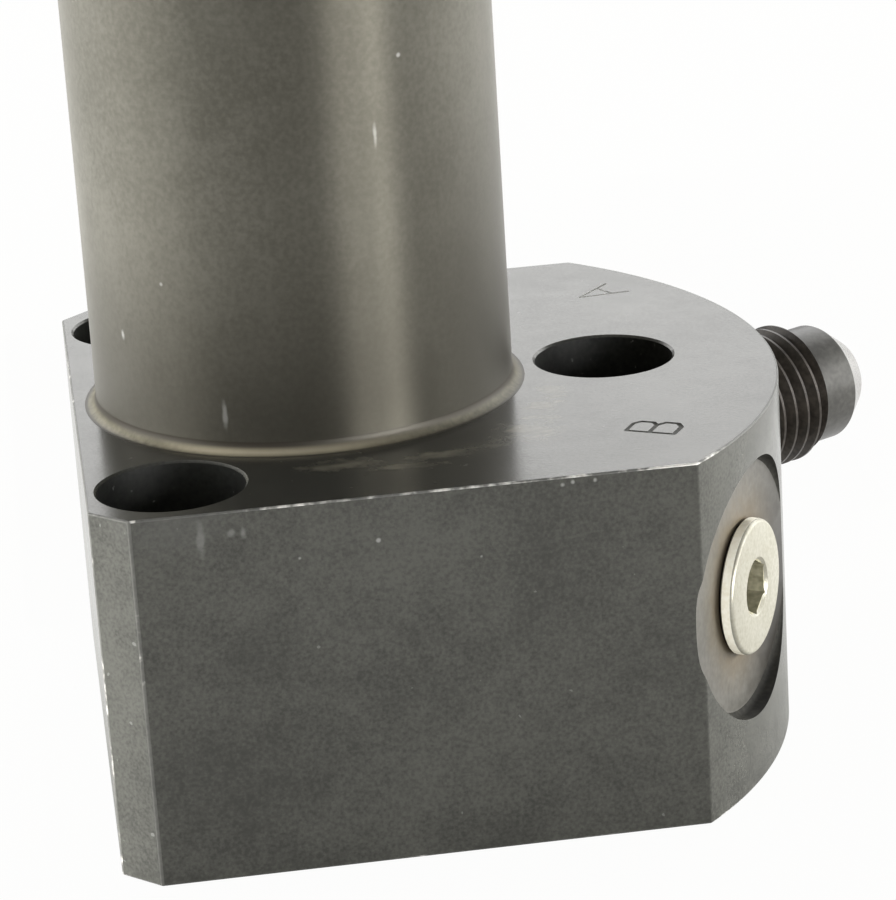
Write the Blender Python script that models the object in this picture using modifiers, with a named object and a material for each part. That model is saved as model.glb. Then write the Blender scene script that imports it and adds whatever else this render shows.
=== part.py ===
"""Swing clamp cylinder with a lower flange: single acting, right-hand turn, spring return.

The barrel's axis is Z and the underside of the flange is z = 0. The single right-hand bolt hole lies
towards +X, port A towards +X +Y and port B towards +X -Y. The plunger stands extended, as the return
spring leaves it: it turns a quarter while it drops by SWING_STROKE, then pulls straight down by
CLAMP_STROKE.
"""

import math

import bmesh
import bpy
from mathutils import Matrix

MM = 0.001

# Body
BODY_HEIGHT = 89.4 * MM
BARREL_DIAMETER = 30.2 * MM
BARREL_TOP_CHAMFER = 0.8 * MM
FLANGE_HEIGHT = 26.4 * MM
FLANGE_FILLET = 0.85 * MM
CORNER_CHAMFER = 2.6 * MM
NOSE_CENTRE_X = -2.05 * MM

# Bolt holes, and the metal left round them
BOLT_COUNT = 3
BOLT_HOLE_DIAMETER = 5.5 * MM
BOLT_RECESS_DIAMETER = 10.1 * MM
BOLT_RECESS_DEPTH = 8.0 * MM
RIM_CHAMFER = 0.25 * MM
BARREL_LAND = 1.0 * MM
SIDE_LAND = 1.3 * MM
END_LAND = 0.75 * MM
NOSE_LAND = 7.1 * MM

# Ports, one each side of the nose
PORT_A_ANGLE = math.radians(30)
PORT_B_ANGLE = math.radians(-32.5)
PORT_TOP_LAND = 2.75 * MM
SPOTFACE_DIAMETER = 18.6 * MM
SPOTFACE_DEPTH = 1.25 * MM
PORT_THREAD_DIAMETER = 7.9 * MM
PORT_THREAD_DEPTH = 11.5 * MM
PORT_SEAT_DIAMETER = 9.1 * MM
PORT_SEAT_DEPTH = 1.9 * MM
PORT_DRILL_DIAMETER = 3.0 * MM
DRILL_POINT_ANGLE = math.radians(59)

# Bores from the top, and the oil way to the rod side
BORE_DIAMETER = 14.0 * MM
BORE_FLOOR = 7.0 * MM
SLEEVE_STEP = 2.3 * MM
OIL_WAY_DIAMETER = 2.0 * MM
OIL_WAY_LAND = 0.45 * MM
GLAND_STEP = 0.25 * MM

# Motion
PLUNGER_DIAMETER = 10.0 * MM
PLUNGER_REACH = 32.8 * MM
PLUNGER_CHAMFER = 1.0 * MM
CENTRE_HOLE_DIAMETER = 3.0 * MM
SWING_ANGLE = math.radians(90)
SWING_STROKE = 8.4 * MM
CLAMP_STROKE = 8.1 * MM

# Guide balls, which join the helical grooves of the plunger to the straight slots of the sleeve
BALL_COUNT = 3
BALL_DIAMETER = 3.0 * MM
BALL_STANDOFF = 0.35 * MM
SLOT_TOP_LAND = 4.5 * MM
SLOT_FOOT_LAND = 2.0 * MM
OIL_NOTCH_WIDTH = 2.0 * MM
OIL_NOTCH_DEPTH = 1.2 * MM

# Gland and its seals
GLAND_LIP = 1.0 * MM
GLAND_LIP_GAP = 0.9 * MM
GLAND_RELIEF = 1.2 * MM
WIPER_HEIGHT = 2.2 * MM
WIPER_WIDTH = 1.4 * MM
SEAL_LAND = 2.4 * MM
SEAL_HEIGHT = 2.4 * MM
SEAL_WIDTH = 1.5 * MM
BACKUP_HEIGHT = 1.0 * MM
GROOVE_LAND = 0.6 * MM
O_RING_SECTION = 1.5 * MM
O_RING_LAND = 2.4 * MM
SPANNER_HOLE_COUNT = 4
SPANNER_HOLE_DIAMETER = 2.5 * MM
SPANNER_HOLE_DEPTH = 3.0 * MM

# Piston, spring and their washers
PISTON_LENGTH = 9.0 * MM
PISTON_GROOVE_DEPTH = 1.5 * MM
GUIDE_RING_HEIGHT = 1.6 * MM
GUIDE_RING_THICKNESS = 1.0 * MM
SPIGOT_LENGTH = 2.6 * MM
WASHER_THICKNESS = 1.4 * MM
SPRING_SEAT_THICKNESS = 1.0 * MM
SPRING_WIRE = 1.6 * MM
SPRING_SIDE_ROOM = 1.0 * MM
SPRING_PITCH = 4.4 * MM

# Plug in port B
PLUG_HEAD_DIAMETER = 9.6 * MM
PLUG_HEAD_THICKNESS = 0.85 * MM
PLUG_SHANK_LENGTH = 8.6 * MM
PLUG_NECK_DIAMETER = 5.6 * MM
PLUG_HEX_ACROSS_FLATS = 3.57 * MM
PLUG_HEX_DEPTH = 3.4 * MM
PLUG_VENT_DIAMETER = 1.2 * MM

# Flare fitting in port A
FITTING_HEX_ACROSS_FLATS = 12.7 * MM
FITTING_HEX_LENGTH = 5.8 * MM
FITTING_HEX_CHAMFER = 0.7 * MM
FITTING_THREAD_DIAMETER = 11.1 * MM
FITTING_RELIEF_DIAMETER = 9.5 * MM
FITTING_RELIEF_LENGTH = 1.0 * MM
FITTING_THREAD_LENGTH = 6.74 * MM
FITTING_NOSE_DIAMETER = 9.4 * MM
FITTING_NOSE_LENGTH = 3.4 * MM
FITTING_TIP_DIAMETER = 6.0 * MM
FITTING_BORE_DIAMETER = 4.4 * MM
FITTING_INNER_BORE_DIAMETER = 3.2 * MM
FLARE_ANGLE = math.radians(37)

# Fits and fineness
GAP = 0.3 * MM
CUT_THROUGH = 1.0 * MM
SPOTFACE_CLEARANCE = 4.0 * MM
SMALL_CHAMFER = 0.4 * MM
FINE_STEPS = 72
ROUND_STEPS = 32
SMALL_STEPS = 16
FILLET_STEPS = 4
RING_SECTION_STEPS = 6
SPRING_STEPS_PER_TURN = 12
GROOVE_POINTS = 14
MERGE = 0.01 * MM

# Plan sizes that follow from the sizes above
barrel_r = BARREL_DIAMETER / 2
recess_r = BOLT_RECESS_DIAMETER / 2
bolt_circle_r = barrel_r + FLANGE_FILLET + BARREL_LAND + recess_r
flange_half_width = bolt_circle_r * math.sin(math.pi / 3) + recess_r + SIDE_LAND
flange_end_x = -(bolt_circle_r * math.cos(math.pi / 3) + recess_r + END_LAND)
nose_x = bolt_circle_r + recess_r + NOSE_LAND
nose_r = nose_x - NOSE_CENTRE_X

port_z = FLANGE_HEIGHT - PORT_TOP_LAND - SPOTFACE_DIAMETER / 2

# Radii of the bores, from the inside out
plunger_r = PLUNGER_DIAMETER / 2
bore_r = BORE_DIAMETER / 2
piston_r = bore_r - GAP
sleeve_bore_r = bore_r + SLEEVE_STEP
sleeve_r = sleeve_bore_r - GAP
running_r = plunger_r + GAP
oil_way_r = OIL_WAY_DIAMETER / 2
oil_way_circle_r = sleeve_bore_r + OIL_WAY_LAND + oil_way_r
gland_bore_r = oil_way_circle_r + oil_way_r + GLAND_STEP
gland_r = gland_bore_r - GAP

# The spring has the same room to the bore outside as to the piston's spigot inside
spring_r = bore_r - SPRING_SIDE_ROOM - SPRING_WIRE / 2
spigot_r = spring_r - SPRING_WIRE / 2 - SPRING_SIDE_ROOM

# Guide balls and the space that they run in
ball_r = BALL_DIAMETER / 2
ball_space_r = ball_r + GAP
ball_orbit_r = plunger_r + BALL_STANDOFF
groove_slope = math.atan2(SWING_STROKE, ball_orbit_r * SWING_ANGLE)
groove_overrun = ball_space_r
groove_rise = groove_overrun * math.sin(groove_slope) + ball_space_r * math.cos(groove_slope)

# Heights, stacked down from the top of the body
wiper_top = BODY_HEIGHT - GLAND_LIP
wiper_foot = wiper_top - WIPER_HEIGHT - 2 * GAP
rod_seal_top = wiper_foot - SEAL_LAND
rod_seal_foot = rod_seal_top - SEAL_HEIGHT - BACKUP_HEIGHT - 3 * GAP
ball_z = rod_seal_foot - GROOVE_LAND - groove_rise - SWING_STROKE
sleeve_top = ball_z + ball_r + SLOT_TOP_LAND
gland_foot = sleeve_top + GAP
slot_foot = ball_z - CLAMP_STROKE - ball_space_r
sleeve_foot = slot_foot - SLOT_FOOT_LAND
sleeve_shoulder = sleeve_foot - GAP
piston_top = sleeve_shoulder - GAP
piston_foot = piston_top - PISTON_LENGTH
washer_top = piston_foot - GAP
washer_foot = washer_top - WASHER_THICKNESS
spring_seat_foot = BORE_FLOOR + GAP
spring_seat_top = spring_seat_foot + SPRING_SEAT_THICKNESS
spring_foot = spring_seat_top + GAP
spring_top = washer_foot - GAP
plunger_top = BODY_HEIGHT + PLUNGER_REACH


def clear_scene():
    for found in list(bpy.data.objects):
        bpy.data.objects.remove(found, do_unlink=True)


def new_collection(name):
    collection = bpy.data.collections.new(name)
    bpy.context.scene.collection.children.link(collection)
    return collection


def new_material(name, colour, metallic, roughness):
    material = bpy.data.materials.new(name)
    material.use_nodes = True
    shader = material.node_tree.nodes["Principled BSDF"]
    shader.inputs["Base Color"].default_value = (*colour, 1.0)
    shader.inputs["Metallic"].default_value = metallic
    shader.inputs["Roughness"].default_value = roughness
    material.diffuse_color = (*colour, 1.0)
    return material


clear_scene()
parts = new_collection("swing_clamp_cylinder")
cutters = new_collection("cutters")

black_oxide = new_material("black_oxide_steel", (0.085, 0.080, 0.070), 0.9, 0.42)
ground_steel = new_material("ground_steel", (0.52, 0.51, 0.50), 1.0, 0.25)
dark_steel = new_material("dark_fitting_steel", (0.060, 0.056, 0.050), 0.9, 0.35)
zinc = new_material("zinc_plate", (0.72, 0.68, 0.52), 0.9, 0.30)
bronze = new_material("sleeve_bronze", (0.52, 0.36, 0.18), 1.0, 0.35)
spring_steel = new_material("spring_steel", (0.30, 0.30, 0.31), 1.0, 0.35)
rubber = new_material("seal_rubber", (0.018, 0.018, 0.018), 0.0, 0.55)
white_plastic = new_material("backup_plastic", (0.70, 0.69, 0.64), 0.0, 0.50)


def new_empty(name, location=(0, 0, 0), rotation=(0, 0, 0)):
    """A joint's or a port's own frame, which its pieces are placed in."""
    empty = bpy.data.objects.new(name, None)
    empty.location = location
    empty.rotation_euler = rotation
    empty.empty_display_size = 5 * MM
    parts.objects.link(empty)
    return empty


def add_object(name, mesh, material=None, parent=None):
    """A part if it has a material, and a cutter if it has none."""
    added = bpy.data.objects.new(name, mesh)
    if material:
        mesh.materials.append(material)
        parts.objects.link(added)
    else:
        cutters.objects.link(added)
        added.hide_render = True
        added.display_type = "WIRE"
    added.parent = parent
    return added


def turned(name, profile, material=None, parent=None, steps=ROUND_STEPS, closed=False):
    """A turned shape. Its (radius, height) profile runs down the outer side; closed joins it to a ring."""
    mesh = bpy.data.meshes.new(name)
    points = [(radius, 0, height) for radius, height in profile]
    edges = [(i, i + 1) for i in range(len(points) - 1)]
    if closed:
        edges.append((len(points) - 1, 0))
    mesh.from_pydata(points, edges, [])
    made = add_object(name, mesh, material, parent)
    turn = made.modifiers.new("Turn", "SCREW")
    turn.steps = steps
    turn.render_steps = steps
    turn.use_merge_vertices = True
    turn.merge_threshold = MERGE
    turn.use_smooth_shade = True
    return made


def turned_ring(name, inner, outer, foot, top, material, parent=None):
    profile = [(outer, top), (outer, foot), (inner, foot), (inner, top)]
    return turned(name, profile, material, parent, closed=True)


def o_ring(name, middle, section, height, material, parent=None):
    """A ring of round section, flat side of its facets outwards."""
    profile = []
    for i in range(RING_SECTION_STEPS):
        angle = math.pi / 2 - (i + 0.5) * math.tau / RING_SECTION_STEPS
        profile.append((middle + section / 2 * math.cos(angle), height + section / 2 * math.sin(angle)))
    return turned(name, profile, material, parent, closed=True)


def lip_seal(name, inner, outer, foot, top, opens_up, material, parent=None):
    """A U-shaped ring whose two lips face the pressure."""
    middle = (inner + outer) / 2
    throat = 0.25 * (outer - inner)
    depth = 0.55 * (top - foot)
    if opens_up:
        profile = [
            (outer, top),
            (outer, foot),
            (inner, foot),
            (inner, top),
            (middle - throat, top),
            (middle, top - depth),
            (middle + throat, top),
        ]
    else:
        profile = [
            (outer, top),
            (outer, foot),
            (middle + throat, foot),
            (middle, foot + depth),
            (middle - throat, foot),
            (inner, foot),
            (inner, top),
        ]
    return turned(name, profile, material, parent, closed=True)


def straight_drill(name, radius, foot, top, parent=None, steps=SMALL_STEPS):
    return turned(name, [(0, top), (radius, top), (radius, foot), (0, foot)], None, parent, steps)


def boolean(target, other, operation):
    modifier = target.modifiers.new(f"{operation.title()} {other.name}", "BOOLEAN")
    modifier.operation = operation
    modifier.solver = "EXACT"
    modifier.object = other
    return modifier


def cut(target, cutter):
    boolean(target, cutter, "DIFFERENCE")


def join(target, other):
    boolean(target, other, "UNION")


def solid_from_curve(name, curve, material=None, parent=None):
    """The curve's solid as a mesh object, with its caps welded to its sides."""
    guide = bpy.data.objects.new(name + "_curve", curve)
    cutters.objects.link(guide)
    bpy.context.view_layer.update()
    graph = bpy.context.evaluated_depsgraph_get()
    mesh = bpy.data.meshes.new_from_object(guide.evaluated_get(graph))
    mesh.name = name
    shape = bmesh.new()
    shape.from_mesh(mesh)
    bmesh.ops.remove_doubles(shape, verts=shape.verts, dist=MERGE)
    bmesh.ops.recalc_face_normals(shape, faces=shape.faces)
    shape.to_mesh(mesh)
    shape.free()
    mesh.materials.clear()
    made = add_object(name, mesh, material, parent)
    made.matrix_world = guide.matrix_world.copy()
    bpy.data.objects.remove(guide, do_unlink=True)
    return made


def extruded_outline(name, outline, height, material=None):
    curve = bpy.data.curves.new(name, "CURVE")
    curve.dimensions = "2D"
    curve.fill_mode = "BOTH"
    curve.extrude = height / 2
    spline = curve.splines.new("POLY")
    spline.points.add(len(outline) - 1)
    for point, (x, y) in zip(spline.points, outline):
        point.co = (x, y, 0, 1)
    spline.use_cyclic_u = True
    made = solid_from_curve(name, curve, material)
    made.location.z = height / 2
    return made


def wire(name, points, radius, resolution, closed_ends=True):
    """A poly curve of round section."""
    curve = bpy.data.curves.new(name, "CURVE")
    curve.dimensions = "3D"
    curve.bevel_depth = radius
    curve.bevel_resolution = resolution
    curve.use_fill_caps = closed_ends
    spline = curve.splines.new("POLY")
    spline.points.add(len(points) - 1)
    for point, place in zip(spline.points, points):
        point.co = (*place, 1)
    return curve


def bolt_angles():
    return [i * math.tau / BOLT_COUNT for i in range(BOLT_COUNT)]


def ball_angles():
    """The first ball lies towards the nose, and the others are spaced evenly round the plunger."""
    return [i * math.tau / BALL_COUNT for i in range(BALL_COUNT)]


def flange_outline():
    """Square end with chamfered corners, straight sides and a round nose."""
    corner = math.asin(flange_half_width / nose_r)
    outline = [
        (flange_end_x, flange_half_width - CORNER_CHAMFER),
        (flange_end_x, -flange_half_width + CORNER_CHAMFER),
        (flange_end_x + CORNER_CHAMFER, -flange_half_width),
    ]
    steps = FINE_STEPS // 2
    for i in range(steps + 1):
        angle = -corner + 2 * corner * i / steps
        outline.append((NOSE_CENTRE_X + nose_r * math.cos(angle), nose_r * math.sin(angle)))
    outline.append((flange_end_x + CORNER_CHAMFER, flange_half_width))
    return outline


def barrel_profile():
    """The turned barrel, with the fillet that runs out into the flange. It starts inside the flange."""
    profile = [
        (0, BODY_HEIGHT),
        (barrel_r - BARREL_TOP_CHAMFER, BODY_HEIGHT),
        (barrel_r, BODY_HEIGHT - BARREL_TOP_CHAMFER),
    ]
    centre_r = barrel_r + FLANGE_FILLET
    centre_z = FLANGE_HEIGHT + FLANGE_FILLET
    for i in range(FILLET_STEPS + 1):
        angle = math.pi + math.pi / 2 * i / FILLET_STEPS
        profile.append((centre_r + FLANGE_FILLET * math.cos(angle), centre_z + FLANGE_FILLET * math.sin(angle)))
    profile.append((centre_r, FLANGE_HEIGHT - CUT_THROUGH))
    profile.append((0, FLANGE_HEIGHT - CUT_THROUGH))
    return profile


def bore_cutter():
    """Stepped bore from the top: gland, guide sleeve and piston."""
    over = BODY_HEIGHT + CUT_THROUGH
    return turned("bore_cutter", [
        (0, over),
        (gland_bore_r, over),
        (gland_bore_r, sleeve_top),
        (sleeve_bore_r, sleeve_top),
        (sleeve_bore_r, sleeve_shoulder),
        (bore_r, sleeve_shoulder),
        (bore_r, BORE_FLOOR),
        (0, BORE_FLOOR),
    ])


def bolt_cutter(name, angle):
    """Clearance hole, screw-head recess and a broken edge at its rim."""
    over = FLANGE_HEIGHT + CUT_THROUGH
    recess_floor = FLANGE_HEIGHT - BOLT_RECESS_DEPTH
    hole_r = BOLT_HOLE_DIAMETER / 2
    rim_r = recess_r + RIM_CHAMFER
    made = turned(name, [
        (0, over),
        (rim_r, over),
        (rim_r, FLANGE_HEIGHT),
        (recess_r, FLANGE_HEIGHT - RIM_CHAMFER),
        (recess_r, recess_floor),
        (hole_r, recess_floor),
        (hole_r, -CUT_THROUGH),
        (0, -CUT_THROUGH),
    ], steps=ROUND_STEPS)
    made.location = (bolt_circle_r * math.cos(angle), bolt_circle_r * math.sin(angle), 0)
    return made


def port_floor(angle):
    """Distance from Z to a port's spotface floor, SPOTFACE_DEPTH under the nose on the port's axis."""
    centre_along = NOSE_CENTRE_X * math.cos(angle)
    centre_across = NOSE_CENTRE_X * math.sin(angle)
    return centre_along + math.sqrt(nose_r ** 2 - centre_across ** 2) - SPOTFACE_DEPTH


def port_cutter(name, port, drill_foot):
    """Spotface, seal seat, thread bore and feed drilling, along the port's own axis."""
    over = SPOTFACE_DEPTH + SPOTFACE_CLEARANCE
    thread_r = PORT_THREAD_DIAMETER / 2 + GAP
    drill_r = PORT_DRILL_DIAMETER / 2
    cone = (thread_r - drill_r) / math.tan(DRILL_POINT_ANGLE)
    return turned(name, [
        (0, over),
        (SPOTFACE_DIAMETER / 2, over),
        (SPOTFACE_DIAMETER / 2, 0),
        (PORT_SEAT_DIAMETER / 2, 0),
        (thread_r, -PORT_SEAT_DEPTH),
        (thread_r, -PORT_THREAD_DEPTH),
        (drill_r, -PORT_THREAD_DEPTH - cone),
        (drill_r, drill_foot),
        (0, drill_foot),
    ], None, port, steps=ROUND_STEPS)


def make_body(port_a, port_b):
    body = extruded_outline("body", flange_outline(), FLANGE_HEIGHT, black_oxide)
    barrel = turned("barrel_blank", barrel_profile(), steps=FINE_STEPS)
    join(body, barrel)
    cut(body, bore_cutter())
    for i, angle in enumerate(bolt_angles()):
        cut(body, bolt_cutter(f"bolt_cutter_{i + 1}", angle))
    cut(body, port_cutter("port_a_cutter", port_a, oil_way_circle_r - oil_way_r - port_floor(PORT_A_ANGLE)))
    cut(body, port_cutter("port_b_cutter", port_b, bore_r - CUT_THROUGH - port_floor(PORT_B_ANGLE)))
    oil_way = straight_drill("oil_way_cutter", oil_way_r, port_z, sleeve_top + CUT_THROUGH)
    oil_way.location.x = oil_way_circle_r * math.cos(PORT_A_ANGLE)
    oil_way.location.y = oil_way_circle_r * math.sin(PORT_A_ANGLE)
    cut(body, oil_way)
    return body


def make_gland():
    """Threaded head that closes the barrel: it guides the plunger and holds the rod seals."""
    groove_r = gland_bore_r - 2 * GAP - O_RING_SECTION
    groove_foot = gland_foot + GLAND_RELIEF + O_RING_LAND
    groove_top = groove_foot + O_RING_SECTION + BACKUP_HEIGHT + 3 * GAP
    seal_r = running_r + SEAL_WIDTH + GAP
    wiper_r = running_r + WIPER_WIDTH + GAP
    lip_r = plunger_r + GLAND_LIP_GAP
    gland = turned("gland", [
        (gland_r - SMALL_CHAMFER, BODY_HEIGHT),
        (gland_r, BODY_HEIGHT - SMALL_CHAMFER),
        (gland_r, groove_top),
        (groove_r, groove_top),
        (groove_r, groove_foot),
        (gland_r, groove_foot),
        (gland_r, gland_foot + GLAND_RELIEF),
        (sleeve_r, gland_foot + GLAND_RELIEF),
        (sleeve_r, gland_foot),
        (running_r, gland_foot),
        (running_r, rod_seal_foot),
        (seal_r, rod_seal_foot),
        (seal_r, rod_seal_top),
        (running_r, rod_seal_top),
        (running_r, wiper_foot),
        (wiper_r, wiper_foot),
        (wiper_r, wiper_top),
        (lip_r, wiper_top),
        (lip_r, BODY_HEIGHT),
    ], ground_steel, closed=True)
    hole_circle_r = (wiper_r + gland_r) / 2
    for i in range(SPANNER_HOLE_COUNT):
        angle = (i + 0.5) * math.tau / SPANNER_HOLE_COUNT
        foot = BODY_HEIGHT - SPANNER_HOLE_DEPTH
        hole = straight_drill(
            f"spanner_cutter_{i + 1}", SPANNER_HOLE_DIAMETER / 2, foot, BODY_HEIGHT + CUT_THROUGH
        )
        hole.location = (hole_circle_r * math.cos(angle), hole_circle_r * math.sin(angle), 0)
        cut(gland, hole)
    o_ring_z = groove_foot + GAP + O_RING_SECTION / 2
    o_ring("gland_o_ring", groove_r + GAP + O_RING_SECTION / 2, O_RING_SECTION, o_ring_z, rubber)
    backup_foot = groove_foot + 2 * GAP + O_RING_SECTION
    turned_ring(
        "gland_backup_ring", groove_r + GAP, gland_r, backup_foot, backup_foot + BACKUP_HEIGHT, white_plastic
    )
    return seal_r, wiper_r


def make_rod_seals(seal_r, wiper_r):
    seal_foot = rod_seal_foot + GAP
    seal_top = seal_foot + SEAL_HEIGHT
    lip_seal("rod_seal", running_r, seal_r - GAP, seal_foot, seal_top, False, rubber)
    backup_foot = seal_top + GAP
    turned_ring(
        "rod_backup_ring", running_r, seal_r - GAP, backup_foot, backup_foot + BACKUP_HEIGHT, white_plastic
    )
    wiper_inner_foot = plunger_r + GLAND_LIP_GAP
    turned("rod_wiper", [
        (wiper_r - GAP, wiper_top - GAP),
        (wiper_r - GAP, wiper_foot + GAP),
        (wiper_inner_foot, wiper_foot + GAP),
        (running_r, wiper_top - GAP - WIPER_HEIGHT / 3),
        (running_r, wiper_top - GAP),
    ], rubber, closed=True)


def make_guide_sleeve():
    """Bronze sleeve under the gland, with one straight slot for each ball."""
    sleeve = turned_ring("guide_sleeve", running_r, sleeve_r, sleeve_foot, sleeve_top, bronze)
    for i, angle in enumerate(ball_angles()):
        slot = straight_drill(f"slot_cutter_{i + 1}", ball_space_r, slot_foot, sleeve_top + CUT_THROUGH)
        slot.location = (ball_orbit_r * math.cos(angle), ball_orbit_r * math.sin(angle), 0)
        cut(sleeve, slot)
        notch_mesh = bpy.data.meshes.new(f"oil_notch_cutter_{i + 1}")
        shape = bmesh.new()
        bmesh.ops.create_cube(shape, size=1.0)
        length = sleeve_r - plunger_r + 2 * CUT_THROUGH
        size = Matrix.Diagonal((length, OIL_NOTCH_WIDTH, 2 * OIL_NOTCH_DEPTH, 1))
        bmesh.ops.transform(shape, matrix=size, verts=shape.verts)
        shape.to_mesh(notch_mesh)
        shape.free()
        notch = add_object(notch_mesh.name, notch_mesh)
        middle = (sleeve_r + plunger_r) / 2
        notch.location = (middle * math.cos(angle), middle * math.sin(angle), sleeve_top)
        notch.rotation_euler.z = angle
        cut(sleeve, notch)
    return sleeve


def make_guide_balls(carrier):
    for i, angle in enumerate(ball_angles()):
        mesh = bpy.data.meshes.new(f"guide_ball_{i + 1}")
        shape = bmesh.new()
        bmesh.ops.create_uvsphere(shape, u_segments=16, v_segments=10, radius=ball_r)
        shape.to_mesh(mesh)
        shape.free()
        mesh.shade_smooth()
        ball = add_object(mesh.name, mesh, ground_steel, carrier)
        ball.location = (
            ball_orbit_r * math.cos(angle),
            ball_orbit_r * math.sin(angle),
            ball_z - carrier.location.z,
        )


def groove_path(start):
    """Points of one ball's way round the plunger, a little past the ball at both ends."""
    turn_per_rise = SWING_ANGLE / SWING_STROKE
    overrun = groove_overrun * math.sin(groove_slope)
    low = ball_z - overrun
    high = ball_z + SWING_STROKE + overrun
    points = []
    for i in range(GROOVE_POINTS):
        height = low + (high - low) * i / (GROOVE_POINTS - 1)
        angle = start + (height - ball_z) * turn_per_rise
        points.append((ball_orbit_r * math.cos(angle), ball_orbit_r * math.sin(angle), height))
    return points


def make_plunger(carrier):
    """Plunger and piston in one piece, with three helical grooves that turn it as it drops."""
    groove_r = piston_r - PISTON_GROOVE_DEPTH
    seal_groove_top = piston_top - SEAL_LAND / 2
    seal_groove_foot = seal_groove_top - SEAL_HEIGHT - BACKUP_HEIGHT - 3 * GAP
    guide_groove_r = piston_r - GUIDE_RING_THICKNESS - GAP
    guide_groove_top = seal_groove_foot - SMALL_CHAMFER * 2
    guide_groove_foot = guide_groove_top - GUIDE_RING_HEIGHT - 2 * GAP
    spigot_foot = piston_foot - SPIGOT_LENGTH
    plunger = turned("plunger", [
        (0, plunger_top),
        (plunger_r - PLUNGER_CHAMFER, plunger_top),
        (plunger_r, plunger_top - PLUNGER_CHAMFER),
        (plunger_r, piston_top),
        (piston_r - SMALL_CHAMFER, piston_top),
        (piston_r, piston_top - SMALL_CHAMFER),
        (piston_r, seal_groove_top),
        (groove_r, seal_groove_top),
        (groove_r, seal_groove_foot),
        (piston_r, seal_groove_foot),
        (piston_r, guide_groove_top),
        (guide_groove_r, guide_groove_top),
        (guide_groove_r, guide_groove_foot),
        (piston_r, guide_groove_foot),
        (piston_r, piston_foot),
        (spigot_r, piston_foot),
        (spigot_r, spigot_foot + SMALL_CHAMFER),
        (spigot_r - SMALL_CHAMFER, spigot_foot),
        (0, spigot_foot),
    ], ground_steel, carrier)
    for i, angle in enumerate(ball_angles()):
        path = wire(f"cam_groove_cutter_{i + 1}", groove_path(angle), ball_space_r, 3)
        cut(plunger, solid_from_curve(f"cam_groove_cutter_{i + 1}", path))
    centre_r = CENTRE_HOLE_DIAMETER / 2
    centre_depth = centre_r / math.tan(math.radians(30))
    cut(plunger, turned("centre_cutter", [
        (0, plunger_top + CUT_THROUGH),
        (centre_r, plunger_top + CUT_THROUGH),
        (centre_r, plunger_top),
        (0, plunger_top - centre_depth),
    ], None, carrier, steps=SMALL_STEPS))
    seal_top = seal_groove_top - GAP
    seal_foot = seal_top - SEAL_HEIGHT
    lip_seal("piston_seal", groove_r + GAP, piston_r, seal_foot, seal_top, True, rubber, carrier)
    backup_top = seal_foot - GAP
    turned_ring(
        "piston_backup_ring", groove_r + GAP, piston_r, backup_top - BACKUP_HEIGHT, backup_top,
        white_plastic, carrier
    )
    turned_ring(
        "piston_guide_ring", guide_groove_r + GAP, piston_r, guide_groove_foot + GAP,
        guide_groove_top - GAP, bronze, carrier
    )


def spring_points():
    """A coil with one closed turn at each end and an even pitch between them."""
    low = spring_foot + SPRING_WIRE / 2
    high = spring_top - SPRING_WIRE / 2
    closed_rise = SPRING_WIRE + 0.1 * MM
    active_turns = max(2, round((high - low - 2 * closed_rise) / SPRING_PITCH))
    active_rise = (high - low - 2 * closed_rise) / active_turns
    turns = active_turns + 2
    points = []
    for i in range(turns * SPRING_STEPS_PER_TURN + 1):
        turn = i / SPRING_STEPS_PER_TURN
        if turn <= 1:
            height = low + closed_rise * turn
        elif turn <= turns - 1:
            height = low + closed_rise + active_rise * (turn - 1)
        else:
            height = high - closed_rise * (turns - turn)
        angle = math.tau * turn
        points.append((spring_r * math.cos(angle), spring_r * math.sin(angle), height))
    return points


def make_spring(carrier):
    spigot_space_r = spigot_r + GAP
    turned_ring(
        "thrust_washer", spigot_space_r, piston_r - GAP / 3, washer_foot, washer_top, ground_steel, carrier
    )
    curve = wire("return_spring", spring_points(), SPRING_WIRE / 2, 2)
    curve.materials.append(spring_steel)
    spring = bpy.data.objects.new("return_spring", curve)
    parts.objects.link(spring)
    spring.parent = carrier
    turned_ring(
        "spring_seat", spigot_space_r, piston_r - GAP / 3, spring_seat_foot, spring_seat_top, ground_steel
    )


def hex_prism(name, across_flats, foot, top, parent, material=None):
    mesh = bpy.data.meshes.new(name)
    shape = bmesh.new()
    corner_r = across_flats / 2 / math.cos(math.pi / 6)
    middle = Matrix.Translation((0, 0, (foot + top) / 2))
    bmesh.ops.create_cone(
        shape, cap_ends=True, segments=6, radius1=corner_r, radius2=corner_r, depth=top - foot, matrix=middle
    )
    shape.to_mesh(mesh)
    shape.free()
    return add_object(name, mesh, material, parent)


def threaded_stem(foot, neck_foot):
    """Profile of the end that screws into a port, below the seal's neck."""
    thread_r = PORT_THREAD_DIAMETER / 2
    return [
        (PLUG_NECK_DIAMETER / 2, neck_foot),
        (thread_r, neck_foot - (thread_r - PLUG_NECK_DIAMETER / 2)),
        (thread_r, foot + SMALL_CHAMFER),
        (thread_r - SMALL_CHAMFER, foot),
        (0, foot),
    ]


def port_o_ring(name, port):
    """The seal lies in the port's tapered seat, round the neck of what is screwed in."""
    inner = PLUG_NECK_DIAMETER / 2 + GAP
    outer = PORT_SEAT_DIAMETER / 2 - 2 * GAP
    section = outer - inner
    o_ring(name, (inner + outer) / 2, section, -section / 2 - GAP, rubber, port)


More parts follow.
